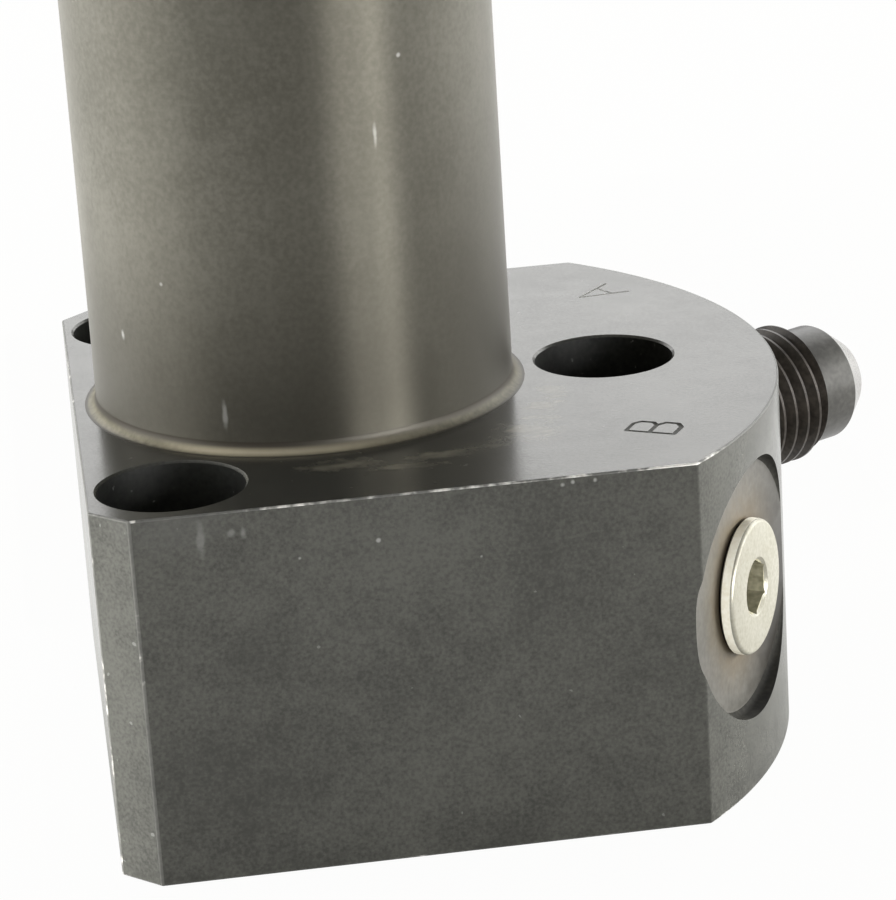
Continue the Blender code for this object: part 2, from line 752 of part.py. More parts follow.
def make_plug(port):
    head_foot = GAP
    head_top = head_foot + PLUG_HEAD_THICKNESS
    head_r = PLUG_HEAD_DIAMETER / 2
    plug = turned("port_plug", [
        (0, head_top),
        (head_r - SMALL_CHAMFER, head_top),
        (head_r, head_top - SMALL_CHAMFER),
        (head_r, head_foot),
        (PLUG_NECK_DIAMETER / 2, head_foot),
        *threaded_stem(-PLUG_SHANK_LENGTH, -PORT_SEAT_DEPTH + GAP),
    ], zinc, port)
    socket_foot = head_top - PLUG_HEX_DEPTH
    cut(plug, hex_prism(
        "hex_socket_cutter", PLUG_HEX_ACROSS_FLATS, socket_foot, head_top + CUT_THROUGH, port
    ))
    cut(plug, straight_drill(
        "vent_cutter", PLUG_VENT_DIAMETER / 2, -PLUG_SHANK_LENGTH - CUT_THROUGH, head_top, port, steps=12
    ))
    port_o_ring("plug_o_ring", port)


def make_fitting(port):
    """Straight adapter: port thread, hexagon, and a male thread with a flared nose."""
    hex_foot = GAP
    hex_top = hex_foot + FITTING_HEX_LENGTH
    relief_top = hex_top + FITTING_RELIEF_LENGTH
    thread_top = relief_top + FITTING_THREAD_LENGTH
    thread_r = FITTING_THREAD_DIAMETER / 2
    nose_r_small = FITTING_NOSE_DIAMETER / 2
    tip_r = FITTING_TIP_DIAMETER / 2
    nose_top = thread_top + FITTING_NOSE_LENGTH
    tip = nose_top + (nose_r_small - tip_r) / math.tan(FLARE_ANGLE)
    stem = turned("fitting_stem_blank", [
        (0, tip),
        (tip_r, tip),
        (nose_r_small, nose_top),
        (nose_r_small, thread_top),
        (thread_r, thread_top - SMALL_CHAMFER),
        (thread_r, relief_top + SMALL_CHAMFER),
        (FITTING_RELIEF_DIAMETER / 2, relief_top),
        (FITTING_RELIEF_DIAMETER / 2, hex_top - CUT_THROUGH),
        (PLUG_NECK_DIAMETER / 2, hex_top - CUT_THROUGH),
        *threaded_stem(-PLUG_SHANK_LENGTH, -PORT_SEAT_DEPTH + GAP),
    ], None, port)
    fitting = hex_prism("flare_fitting", FITTING_HEX_ACROSS_FLATS, hex_foot, hex_top, port, dark_steel)
    corner_r = FITTING_HEX_ACROSS_FLATS / 2 / math.cos(math.pi / 6)
    rise = FITTING_HEX_CHAMFER * math.tan(math.radians(30))
    flat_r = corner_r - FITTING_HEX_CHAMFER
    round_blank = turned("hex_chamfer_blank", [
        (0, hex_top + CUT_THROUGH),
        (flat_r - CUT_THROUGH / math.tan(math.radians(30)), hex_top + CUT_THROUGH),
        (flat_r, hex_top),
        (corner_r + CUT_THROUGH, hex_top - (FITTING_HEX_CHAMFER + CUT_THROUGH) * math.tan(math.radians(30))),
        (corner_r + CUT_THROUGH, hex_foot - CUT_THROUGH),
        (0, hex_foot - CUT_THROUGH),
    ], None, port)
    boolean(fitting, round_blank, "INTERSECT")
    join(fitting, stem)
    inner_bore_r = FITTING_INNER_BORE_DIAMETER / 2
    bore_r_out = FITTING_BORE_DIAMETER / 2
    cut(fitting, turned("fitting_bore_cutter", [
        (0, tip + CUT_THROUGH),
        (bore_r_out, tip + CUT_THROUGH),
        (bore_r_out, hex_foot),
        (inner_bore_r, hex_foot - (bore_r_out - inner_bore_r)),
        (inner_bore_r, -PLUG_SHANK_LENGTH - CUT_THROUGH),
        (0, -PLUG_SHANK_LENGTH - CUT_THROUGH),
    ], None, port, steps=SMALL_STEPS))
    port_o_ring("fitting_o_ring", port)


def port_frame(name, angle):
    """A frame on the spotface floor whose own Z points out of the port."""
    floor = port_floor(angle)
    place = (floor * math.cos(angle), floor * math.sin(angle), port_z)
    return new_empty(name, place, (0, math.pi / 2, angle))


def main():
    port_a = port_frame("port_a", PORT_A_ANGLE)
    port_b = port_frame("port_b", PORT_B_ANGLE)
    clamp_carrier = new_empty("clamp_stroke_axis", (0, 0, ball_z))
    spring_carrier = new_empty("swing_stroke_axis")
    plunger_carrier = new_empty("swing_axis")
    make_body(port_a, port_b)
    seal_r, wiper_r = make_gland()
    make_rod_seals(seal_r, wiper_r)
    make_guide_sleeve()
    make_guide_balls(clamp_carrier)
    make_plunger(plunger_carrier)
    make_spring(spring_carrier)
    make_plug(port_b)
    make_fitting(port_a)


main()
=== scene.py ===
"""Looks of the swing clamp cylinder: fine pieces, finishes, floor, light and camera.

The frame is the part's own: the barrel's axis is Z, the underside of the flange is z = 0, the round nose lies
towards +X, port A towards +X +Y and port B towards +X -Y. The sizes are the part's own sizes.
"""

import math

import bpy
from mathutils import Euler, Matrix, Vector


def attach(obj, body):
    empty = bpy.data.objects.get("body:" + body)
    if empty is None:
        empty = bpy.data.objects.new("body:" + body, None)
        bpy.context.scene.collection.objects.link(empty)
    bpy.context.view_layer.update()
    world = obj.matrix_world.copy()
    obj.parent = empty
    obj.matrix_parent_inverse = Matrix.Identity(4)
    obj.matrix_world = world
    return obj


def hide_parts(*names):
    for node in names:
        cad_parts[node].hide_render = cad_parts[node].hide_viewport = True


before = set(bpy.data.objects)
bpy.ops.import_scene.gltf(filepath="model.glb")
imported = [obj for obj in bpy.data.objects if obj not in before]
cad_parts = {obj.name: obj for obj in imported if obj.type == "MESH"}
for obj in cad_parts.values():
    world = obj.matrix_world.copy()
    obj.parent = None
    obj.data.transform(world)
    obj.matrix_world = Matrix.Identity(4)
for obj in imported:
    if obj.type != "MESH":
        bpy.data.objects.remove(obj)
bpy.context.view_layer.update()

MM = 0.001

# Body
BODY_HEIGHT = 89.4 * MM
BARREL_R = 15.1 * MM
BARREL_TOP_CHAMFER = 0.8 * MM
FLANGE_HEIGHT = 26.4 * MM
FLANGE_FILLET = 0.85 * MM
CORNER_CHAMFER = 2.6 * MM
NOSE_CENTRE_X = -2.05 * MM
NOSE_R = 36.2 * MM
FLANGE_END_X = -16.8 * MM
FLANGE_HALF_WIDTH = 25.4033 * MM
EDGE_BREAK = 0.14 * MM

# Bolt holes
BOLT_CIRCLE_R = 22.0 * MM
BOLT_HOLE_R = 2.75 * MM
RECESS_R = 5.05 * MM
RECESS_DEPTH = 8.0 * MM
RIM_CHAMFER = 0.16 * MM

# Ports
PORT_A_ANGLE = math.radians(30)
PORT_B_ANGLE = math.radians(-32.5)
PORT_Z = 14.35 * MM
SPOTFACE_DEPTH = 1.25 * MM
SPOTFACE_R = 9.3 * MM
SPOTFACE_CORNER_R = 0.5 * MM
PORT_SEAT_R = 4.55 * MM
PORT_SEAT_DEPTH = 1.9 * MM
PORT_BORE_R = 4.25 * MM
PORT_BORE_DEPTH = 11.5 * MM
PORT_DRILL_R = 1.5 * MM
STEM_NECK_R = 2.8 * MM
STEM_CREST_R = 3.95 * MM
STEM_ROOT_R = 3.3 * MM
STEM_PITCH = 1.058 * MM
STEM_LENGTH = 8.6 * MM
STEM_NECK_FOOT = -PORT_SEAT_DEPTH + 0.3 * MM

# Bores
GLAND_BORE_R = 12.0 * MM
SLEEVE_BORE_R = 9.3 * MM
BORE_R = 7.0 * MM
SLEEVE_TOP = 73.35 * MM
SLEEVE_SHOULDER = 55.15 * MM
BORE_FLOOR = 7.0 * MM
OIL_WAY_R = 1.0 * MM
OIL_WAY_CIRCLE_R = 10.75 * MM

# Stage
FLOOR_R = 3.0
TARGET_HEIGHT = 30 * MM
SEEN_SHARE = 0.97
CARD_HEIGHT = BODY_HEIGHT + 60 * MM

# Fineness
BARREL_SIDES = 256
NOSE_SIDES = 720
ROUND_SIDES = 128
THREAD_SIDES = 72
SMALL_SIDES = 48


def deselect_all():
    bpy.ops.object.select_all(action="DESELECT")


def make_active(piece):
    deselect_all()
    piece.select_set(True)
    bpy.context.view_layer.objects.active = piece


def start_edit():
    bpy.ops.object.mode_set(mode="EDIT")
    bpy.ops.mesh.select_all(action="SELECT")


def end_edit():
    bpy.ops.object.mode_set(mode="OBJECT")


def name_active(name):
    piece = bpy.context.object
    piece.name = name
    piece.data.name = name
    return piece


def settle(piece):
    """Applies the object's place to its mesh, so that the object sits at the origin."""
    make_active(piece)
    bpy.ops.object.transform_apply(location=True, rotation=True, scale=True)
    return piece


def turned(name, profile, sides=ROUND_SIDES, closed=False):
    """Turned piece: a circle is drawn through the (radius, height) points of the profile."""
    deselect_all()
    first_radius, first_height = profile[0]
    bpy.ops.mesh.primitive_circle_add(vertices=sides, radius=first_radius, location=(0, 0, first_height))
    piece = name_active(name)
    start_edit()
    points = list(profile)
    if closed:
        points.append(profile[0])
    else:
        bpy.ops.mesh.edge_face_add()
    for (radius, height), (next_radius, next_height) in zip(points, points[1:]):
        bpy.ops.mesh.extrude_region_move(TRANSFORM_OT_translate={"value": (0, 0, next_height - height)})
        ratio = next_radius / radius
        if abs(ratio - 1) > 1e-6:
            bpy.ops.transform.resize(value=(ratio, ratio, 1), center_override=(0, 0, next_height))
    bpy.ops.mesh.select_all(action="SELECT")
    if closed:
        bpy.ops.mesh.remove_doubles(threshold=0.0005 * MM)
    bpy.ops.mesh.normals_make_consistent(inside=False)
    end_edit()
    return settle(piece)


def arc(centre_radius, centre_height, radius, start, end, steps):
    """Points of a round corner in a turned profile, from one angle to another in degrees."""
    points = []
    for i in range(steps + 1):
        angle = math.radians(start + (end - start) * i / steps)
        points.append((centre_radius + radius * math.cos(angle), centre_height + radius * math.sin(angle)))
    return points


def groove(rim_r, floor_r, near, far):
    """Points of a square groove in a turned profile."""
    return [(rim_r, near), (floor_r, near), (floor_r, far), (rim_r, far)]


def paint(piece, material, chosen=None):
    """Gives a material to all faces, or to those that the chosen test picks by centre and normal."""
    slots = piece.data.materials
    if material.name not in slots:
        slots.append(material)
    index = slots.find(material.name)
    for face in piece.data.polygons:
        if chosen is None or chosen(face.center, face.normal):
            face.material_index = index
    return piece


def combine(target, tool, operation):
    """Boolean between two pieces; the tool is used up."""
    make_active(target)
    modifier = target.modifiers.new(operation, "BOOLEAN")
    modifier.operation = operation
    modifier.solver = "EXACT"
    modifier.object = tool
    modifier.material_mode = "TRANSFER"
    bpy.ops.object.modifier_apply(modifier=modifier.name)
    bpy.data.objects.remove(tool, do_unlink=True)


def cut(target, tool):
    combine(target, tool, "DIFFERENCE")


def join(target, tool):
    combine(target, tool, "UNION")


def shade_round(piece, degrees=32):
    """Smooth shading between near faces, with broad flat faces kept flat."""
    make_active(piece)
    bpy.ops.object.shade_smooth_by_angle(angle=math.radians(degrees))
    modifier = piece.modifiers.new("Flat faces", "WEIGHTED_NORMAL")
    modifier.keep_sharp = True
    modifier.weight = 100
    bpy.ops.object.modifier_apply(modifier=modifier.name)


def copy_of(piece, name):
    """A copy with its own mesh."""
    made = piece.copy()
    made.data = piece.data.copy()
    made.name = name
    bpy.context.scene.collection.objects.link(made)
    return made


def cut_round(target, first, count, radius=0.0, start=0.0):
    """Cuts copies of a tool round Z: set out on a circle, or turned in place where there's no radius."""
    for i in range(count):
        angle = start + i * math.tau / count
        tool = copy_of(first, first.name + "_copy")
        if radius:
            tool.location = (radius * math.cos(angle), radius * math.sin(angle), 0)
        else:
            tool.rotation_euler.z = angle
        cut(target, settle(tool))
    bpy.data.objects.remove(first, do_unlink=True)


def swept_round(name, outline_edit, turn, rise, steps, turns=1):
    """A flat outline carried round Z while it rises, closed at both ends."""
    deselect_all()
    outline_edit(name)
    piece = bpy.context.object
    modifier = piece.modifiers.new("Sweep", "SCREW")
    modifier.angle = turn
    modifier.screw_offset = rise
    modifier.iterations = turns
    modifier.steps = steps
    modifier.render_steps = steps
    modifier.use_smooth_shade = False
    bpy.ops.object.modifier_apply(modifier=modifier.name)
    start_edit()
    bpy.ops.mesh.fill_holes(sides=0)
    bpy.ops.mesh.select_all(action="SELECT")
    bpy.ops.mesh.normals_make_consistent(inside=False)
    end_edit()
    return piece


def thread_tool(name, root_r, pitch, foot, top):
    """The vee groove of a right-hand thread, from one height to another."""
    half_flat = pitch / 16
    half_mouth = 0.49 * pitch
    mouth_r = root_r + (half_mouth - half_flat) / math.tan(math.radians(30))

    def vee(piece_name):
        bpy.ops.mesh.primitive_plane_add(size=1)
        name_active(piece_name)
        corners = [(root_r, -half_flat), (mouth_r, -half_mouth), (root_r, half_flat), (mouth_r, half_mouth)]
        mesh = bpy.context.object.data
        for vertex, (radius, height) in zip(mesh.vertices, corners):
            vertex.co = (radius, 0, height + foot)
        start_edit()
        bpy.ops.mesh.delete(type="ONLY_FACE")
        end_edit()

    turns = max(1, round((top - foot) / pitch))
    tool = swept_round(name, vee, math.tau, pitch, THREAD_SIDES, turns)
    tool.rotation_euler.z = math.radians(1.3)
    return settle(tool)


def port_floor(angle):
    """Distance from Z to a port's spotface floor, on the port's axis."""
    along = NOSE_CENTRE_X * math.cos(angle)
    across = NOSE_CENTRE_X * math.sin(angle)
    return along + math.sqrt(NOSE_R ** 2 - across ** 2) - SPOTFACE_DEPTH


def to_port(piece, angle):
    """Places a piece made on Z on a port's axis, its zero on the spotface floor."""
    floor = port_floor(angle)
    place = Vector((floor * math.cos(angle), floor * math.sin(angle), PORT_Z))
    piece.matrix_world = Matrix.Translation(place) @ Euler((0, math.pi / 2, angle)).to_matrix().to_4x4()
    return settle(piece)


def feed(tree, socket, value):
    """Links another node's output to a socket, or sets the socket's own value."""
    if isinstance(value, bpy.types.NodeSocket):
        tree.links.new(value, socket)
    else:
        socket.default_value = value


def node(tree, kind, settings=None, inputs=None):
    """A shader node. Its inputs are values or another node's output sockets."""
    made = tree.nodes.new(kind)
    for name, value in (settings or {}).items():
        setattr(made, name, value)
    for name, value in (inputs or {}).items():
        feed(tree, made.inputs[name], value)
    return made


def noise(tree, place, scale, detail=2, **inputs):
    """Noise value whose scale is in cells per metre."""
    return node(tree, "ShaderNodeTexNoise", inputs={
        "Vector": place, "Scale": scale, "Detail": detail, **inputs
    }).outputs["Fac"]


def ramp(tree, value, low, high, out_low=0.0, out_high=1.0):
    """Maps a value smoothly from one range to another, held at both ends."""
    return node(tree, "ShaderNodeMapRange", {"interpolation_type": "SMOOTHSTEP"}, {
        "Value": value, "From Min": low, "From Max": high, "To Min": out_low, "To Max": out_high
    }).outputs["Result"]


def axes(tree, place):
    """The X, Y and Z of a place."""
    return node(tree, "ShaderNodeSeparateXYZ", inputs={"Vector": place}).outputs


def math_node(tree, operation, first, second=0.0):
    made = node(tree, "ShaderNodeMath", {"operation": operation})
    for socket, value in zip(made.inputs, (first, second)):
        feed(tree, socket, value)
    return made.outputs[0]


def times(tree, first, second):
    return math_node(tree, "MULTIPLY", first, second)


def vector_math(tree, operation, *values):
    made = node(tree, "ShaderNodeVectorMath", {"operation": operation})
    for socket, value in zip(made.inputs, values):
        feed(tree, socket, value)
    return made.outputs


def mix_colour(tree, factor, first, second):
    made = node(tree, "ShaderNodeMix", {"data_type": "RGBA"})
    for key, value in (("Factor_Float", factor), ("A_Color", first), ("B_Color", second)):
        if isinstance(value, tuple):
            value = (*value, 1)
        feed(tree, next(s for s in made.inputs if s.identifier == key), value)
    return next(s for s in made.outputs if s.identifier == "Result_Color")


def new_group(name, inputs, outputs):
    """An effect shared by several materials: a group with named inputs and outputs."""
    group = bpy.data.node_groups.new(name, "ShaderNodeTree")
    for direction, sockets in (("INPUT", inputs), ("OUTPUT", outputs)):
        for socket_name, kind, *default in sockets:
            socket = group.interface.new_socket(
                name=socket_name, in_out=direction, socket_type="NodeSocket" + kind
            )
            if default:
                socket.default_value = default[0]
    source = group.nodes.new("NodeGroupInput")
    sink = group.nodes.new("NodeGroupOutput")
    return group, source.outputs, sink.inputs


def use_group(tree, group, **inputs):
    made = tree.nodes.new("ShaderNodeGroup")
    made.node_tree = group
    for name, value in inputs.items():
        feed(tree, made.inputs[name.replace("_", " ")], value)
    return made.outputs


def make_mottle_group():
    """Broad clouds, patches and fine grain between a dark and a light colour, with a grain height."""
    group, given, out = new_group("mottle", [
        ("Place", "Vector"),
        ("Dark", "Color", (0.05, 0.05, 0.05, 1)),
        ("Light", "Color", (0.08, 0.08, 0.08, 1)),
        ("Cloud Scale", "Float", 70.0),
        ("Grain Scale", "Float", 2600.0),
    ], [("Color", "Color"), ("Value", "Float"), ("Height", "Float")])
    cloud = noise(group, given["Place"], given["Cloud Scale"], 3, Roughness=0.6)
    patch = noise(group, given["Place"], times(group, given["Cloud Scale"], 7), 2)
    grain = noise(group, given["Place"], given["Grain Scale"], 1)
    total = 0.0
    for part, share in ((cloud, 0.42), (patch, 0.2), (grain, 0.38)):
        total = math_node(group, "ADD", total, times(group, part, share))
    value = ramp(group, total, 0.32, 0.68)
    group.links.new(value, out["Value"])
    group.links.new(grain, out["Height"])
    group.links.new(mix_colour(group, value, given["Dark"], given["Light"]), out["Color"])
    return group


def make_wear_group():
    """Where an edge has lost its oxide: long patches with small breaks."""
    group, given, out = new_group("edge_wear", [
        ("Place", "Vector"), ("Amount", "Float", 0.5)
    ], [("Mask", "Float")])
    long_patch = noise(group, given["Place"], 150, 3)
    chip = noise(group, given["Place"], 1500, 2)
    total = given["Amount"]
    for part, share in ((long_patch, 0.6), (chip, 0.4)):
        total = math_node(group, "ADD", total, times(group, part, share))
    group.links.new(ramp(group, total, 0.92, 1.08), out["Mask"])
    return group


def make_spot_group():
    """A soft-edged spot round a centre, with a ragged outline."""
    group, given, out = new_group("spot", [
        ("Place", "Vector"),
        ("Centre", "Vector"),
        ("Stretch", "Vector", (1, 1, 1)),
        ("Radius", "Float", 0.001),
        ("Raggedness", "Float", 0.5),
    ], [("Mask", "Float")])
    offset = vector_math(group, "SUBTRACT", given["Place"], given["Centre"])["Vector"]
    scaled = vector_math(group, "MULTIPLY", offset, given["Stretch"])["Vector"]
    length = vector_math(group, "LENGTH", scaled)["Value"]
    ratio = math_node(group, "DIVIDE", length, given["Radius"])
    rag = math_node(group, "SUBTRACT", noise(group, given["Place"], 1100, 3), 0.5)
    ratio = math_node(group, "ADD", ratio, times(group, rag, given["Raggedness"]))
    group.links.new(ramp(group, ratio, 1.05, 0.2), out["Mask"])
    return group


def make_turning_group():
    """Fine rings left by the lathe along an axis, as a height."""
    group, given, out = new_group("turning_marks", [
        ("Along", "Float"),
        ("Place", "Vector"),
        ("Pitch", "Float", 0.0002),
    ], [("Height", "Float")])
    phase = times(group, math_node(group, "DIVIDE", given["Along"], given["Pitch"]), math.tau)
    shake = times(group, noise(group, given["Place"], 90, 1), 5)
    wave = math_node(group, "SINE", math_node(group, "ADD", phase, shake))
    rough = noise(group, given["Place"], 900, 2)
    height = math_node(group, "ADD", times(group, wave, 0.35), rough)
    group.links.new(height, out["Height"])
    return group


mottle = make_mottle_group()
edge_wear = make_wear_group()
spot = make_spot_group()
turning_marks = make_turning_group()


def new_material(name, metallic, roughness, **shader_values):
    material = bpy.data.materials.new(name)
    material.use_nodes = True
    tree = material.node_tree
    shader = tree.nodes["Principled BSDF"]
    shader.inputs["Metallic"].default_value = metallic
    shader.inputs["Roughness"].default_value = roughness
    for key, value in shader_values.items():
        shader.inputs[key.replace("_", " ")].default_value = value
    place = node(tree, "ShaderNodeTexCoord").outputs["Object"]
    return material, tree, shader, place


def tinted(tree, place, dark, light, **scales):
    """The mottle group between two colours."""
    return use_group(tree, mottle, Place=place, Dark=(*dark, 1), Light=(*light, 1), **scales)


def spot_mask(tree, place, centre, radius, **more):
    return use_group(tree, spot, Place=place, Centre=centre, Radius=radius, **more)["Mask"]


def plug_in(tree, shader, **sockets):
    for key, value in sockets.items():
        tree.links.new(value, shader.inputs[key.replace("_", " ")])


def bump(tree, height, distance, strength=1.0, **inputs):
    return node(tree, "ShaderNodeBump", inputs={
        "Height": height, "Distance": distance, "Strength": strength, **inputs
    }).outputs["Normal"]


# Marks on the flange, each as centre in mm, stretch, radius in mm, strength and colour
OIL = (0.28, 0.265, 0.205)
RUB = (0.30, 0.30, 0.285)
MARKS = [
    ((0.4, -18.3, 26.4), (0.45, 1.1, 1), 1.5, 0.9, OIL),
    ((5.0, -20.0, 26.4), (0.35, 1.3, 1), 1.1, 0.8, OIL),
    ((7.6, -18.4, 26.4), (0.4, 1.2, 1), 1.4, 0.9, OIL),
    ((10.8, -17.4, 26.4), (0.5, 1, 1), 1.3, 0.7, OIL),
    ((13.9, -15.3, 26.4), (0.6, 0.7, 1), 1.9, 0.7, OIL),
    ((15.6, -11.2, 26.4), (1, 0.5, 1), 1.8, 0.7, OIL),
    ((17.0, -7.0, 26.4), (1, 0.4, 1), 1.3, 0.5, OIL),
    ((-11.5, -25.4, 25.5), (0.6, 1, 1.2), 2.8, 0.35, (0.095, 0.095, 0.088)),
    ((-9.6, -25.4, 24.6), (1.3, 1, 0.35), 0.50, 0.22, RUB),
    ((-7.5, -25.4, 24.9), (0.9, 1, 0.9), 0.36, 0.25, RUB),
    ((-6.8, -25.4, 24.85), (1.2, 1, 0.6), 0.36, 0.28, RUB),
    ((14.6, -25.4, 25.84), (1, 1, 1), 0.22, 0.7, RUB),
    ((15.3, -25.4, 25.97), (1, 1, 1), 0.20, 0.7, RUB),
    ((16.8, -25.4, 25.95), (1.2, 1, 1), 0.22, 0.7, RUB),
    ((2.1, -25.4, 23.3), (1, 1, 1), 0.20, 0.7, RUB),
    ((8.9, -25.4, 21.4), (1, 1, 1), 0.16, 0.6, RUB),
    ((-3.2, -25.4, 22.6), (1, 1, 1), 0.16, 0.6, RUB),
]
BARREL_MARKS = [
    ((4.86, -14.30, 48.0), (1.8, 1, 0.35), 0.35, 0.6, RUB),
    ((6.86, -13.45, 53.1), (1, 1, 1), 0.22, 0.8, RUB),
    ((-12.96, -7.76, 33.9), (1, 1, 0.6), 0.26, 0.4, RUB),
    ((-10.16, -11.17, 38.2), (1, 1, 1), 0.18, 0.4, RUB),
    ((-6.69, -13.54, 29.2), (1.8, 1, 0.35), 0.42, 0.2, RUB),
]


def add_marks(tree, place, colour, marks):
    """Lays soft spots over a colour; also puts out where the oil marks are."""
    drawn_out = node(tree, "ShaderNodeMapping", inputs={"Vector": place, "Scale": (0.6, 1.3, 1)})
    streak = ramp(tree, noise(tree, drawn_out.outputs["Vector"], 620, 1), 0.30, 0.70, 0.15, 1)
    oily = 0.0
    for centre, stretch, radius, strength, shade in marks:
        middle = [v * MM for v in centre]
        mask = spot_mask(tree, place, middle, radius * MM, Stretch=stretch, Raggedness=1.2)
        share = times(tree, mask, strength)
        if shade == OIL:
            share = times(tree, share, streak)
            oily = math_node(tree, "MAXIMUM", oily, share)
        colour = mix_colour(tree, share, colour, shade)
    return colour, oily


def make_milled_oxide():
    """Black oxide on the milled block: neutral dark grey with fine grain, specks, rubs and oil marks."""
    material, tree, shader, place = new_material(
        "milled_oxide", 0.1, 0.22, IOR=1.5, Specular_Tint=(1, 0.99, 0.94, 1)
    )
    base = tinted(tree, place, (0.038, 0.038, 0.034), (0.076, 0.076, 0.067), Grain_Scale=4200)
    colour = base["Color"]
    speck = ramp(tree, noise(tree, place, 1500, 1), 0.76, 0.80, 0, 0.6)
    colour = mix_colour(tree, speck, colour, (0.16, 0.16, 0.15))
    colour, oily = add_marks(tree, place, colour, MARKS)
    dull = math_node(tree, "SUBTRACT", base["Value"], times(tree, oily, 0.8))
    plug_in(
        tree, shader, Base_Color=colour,
        Roughness=node(tree, "ShaderNodeMapRange", inputs={
            "Value": dull, "From Min": -0.8, "From Max": 1.0, "To Min": 0.30, "To Max": 0.17
        }).outputs["Result"],
        Normal=bump(tree, base["Height"], 0.007 * MM, 0.4)
    )
    return material


def make_turned_oxide():
    """Black oxide on the turned barrel: warmer, with lathe rings that draw highlights out along Z, and
    painted shade low down.
    """
    material, tree, shader, place = new_material(
        "turned_oxide", 0.1, 0.42, IOR=1.5, Anisotropic=0.8, Specular_Tint=(1, 0.93, 0.75, 1)
    )
    shader.inputs["Anisotropic Rotation"].default_value = 0.25
    tangent = node(tree, "ShaderNodeTangent", {"direction_type": "RADIAL", "axis": "Z"})
    tree.links.new(tangent.outputs["Tangent"], shader.inputs["Tangent"])
    base = tinted(tree, place, (0.044, 0.0425, 0.0345), (0.070, 0.0675, 0.0565), Cloud_Scale=50)
    axis = axes(tree, place)
    # Painted shade: the colour darkens towards the foot, and more strongly low down on the nose side.
    foot = ramp(tree, axis["Z"], 44 * MM, 28 * MM, 0, 0.72)
    nose_side_shade = times(
        tree, ramp(tree, axis["Z"], 56 * MM, 29 * MM, 0, 0.95),
        ramp(tree, axis["X"], 2 * MM, 13 * MM)
    )
    painted_foot_shade = math_node(tree, "MAXIMUM", foot, nose_side_shade)
    colour = mix_colour(tree, painted_foot_shade, base["Color"], (0.012, 0.0112, 0.0088))
    colour, _ = add_marks(tree, place, colour, BARREL_MARKS)
    rings = use_group(tree, turning_marks, Place=place, Along=axis["Z"], Pitch=0.24 * MM)["Height"]
    plug_in(tree, shader, Base_Color=colour, Normal=bump(tree, rings, 0.004 * MM, 0.3))
    return material


def make_fillet_oxide():
    """The fillet at the barrel's foot: a painted golden highlight over its front, dark at its two edges, with
    painted shade along the top edge.
    """
    material, tree, shader, place = new_material("fillet_oxide_painted_highlight", 0.1, 0.45, Specular_Tint=(1, 0.95, 0.82, 1))
    base = tinted(tree, place, (0.036, 0.033, 0.022), (0.105, 0.097, 0.069), Cloud_Scale=110)
    axis = axes(tree, place)
    foot = FLANGE_HEIGHT
    # Painted highlight: a golden band over the front of the fillet, between these x limits.
    left_end = ramp(tree, axis["X"], -13 * MM, -7 * MM)
    golden = times(tree, left_end, ramp(tree, axis["X"], 8 * MM, 0))
    colour = mix_colour(tree, times(tree, golden, 0.75), base["Color"], (0.26, 0.232, 0.165))
    # The bottom edge blends to the flange's dark oxide; the top edge gets a painted shade line.
    lower = ramp(tree, axis["Z"], foot + 0.05 * MM, foot)
    upper_shade = ramp(tree, axis["Z"], foot + 0.14 * MM, foot + 0.60 * MM)
    colour = mix_colour(tree, lower, colour, (0.040, 0.038, 0.033))
    colour = mix_colour(tree, upper_shade, colour, (0.014, 0.012, 0.009))
    plug_in(tree, shader, Base_Color=colour)
    return material


def make_worn_edge():
    """Broken edges: bare steel where the oxide has rubbed off, most at the flange's top edge."""
    material, tree, shader, place = new_material("worn_edge", 0.5, 0.42)
    axis = axes(tree, place)
    front = times(
        tree, ramp(tree, axis["Y"], -24.9 * MM, -25.3 * MM),
        ramp(tree, axis["X"], -12 * MM, 2 * MM, 0.3, 1)
    )
    top_edge = ramp(tree, axis["Z"], 26.1 * MM, 26.3 * MM, 0, 0.15)
    amount = math_node(tree, "ADD", 0.35, times(tree, top_edge, front))
    corner_place = [v * MM for v in (-13.9, -25.2, 26.35)]
    corner = spot_mask(tree, place, corner_place, 0.55 * MM)
    amount = math_node(tree, "MAXIMUM", amount, times(tree, corner, 0.55))
    wear = use_group(tree, edge_wear, Place=place, Amount=amount)["Mask"]
    base = tinted(tree, place, (0.055, 0.055, 0.050), (0.095, 0.094, 0.085))
    colour = mix_colour(tree, wear, base["Color"], (0.54, 0.525, 0.49))
    plug_in(tree, shader, Base_Color=colour, Metallic=ramp(tree, wear, 0, 1, 0.1, 0.35))
    return material


def make_recess_oxide():
    """Drilled and counterbored surfaces: dark and dull, painted darker than the block as shade in the holes,
    with specks of dried oil.
    """
    material, tree, shader, place = new_material("recess_oxide_painted_shade", 0.0, 0.6, Specular_IOR_Level=0.25)
    base = tinted(tree, place, (0.010, 0.010, 0.008), (0.030, 0.031, 0.025))
    speck = ramp(tree, noise(tree, place, 1300, 2), 0.70, 0.78)
    plug_in(tree, shader, Base_Color=mix_colour(tree, speck, base["Color"], (0.30, 0.30, 0.28)))
    return material


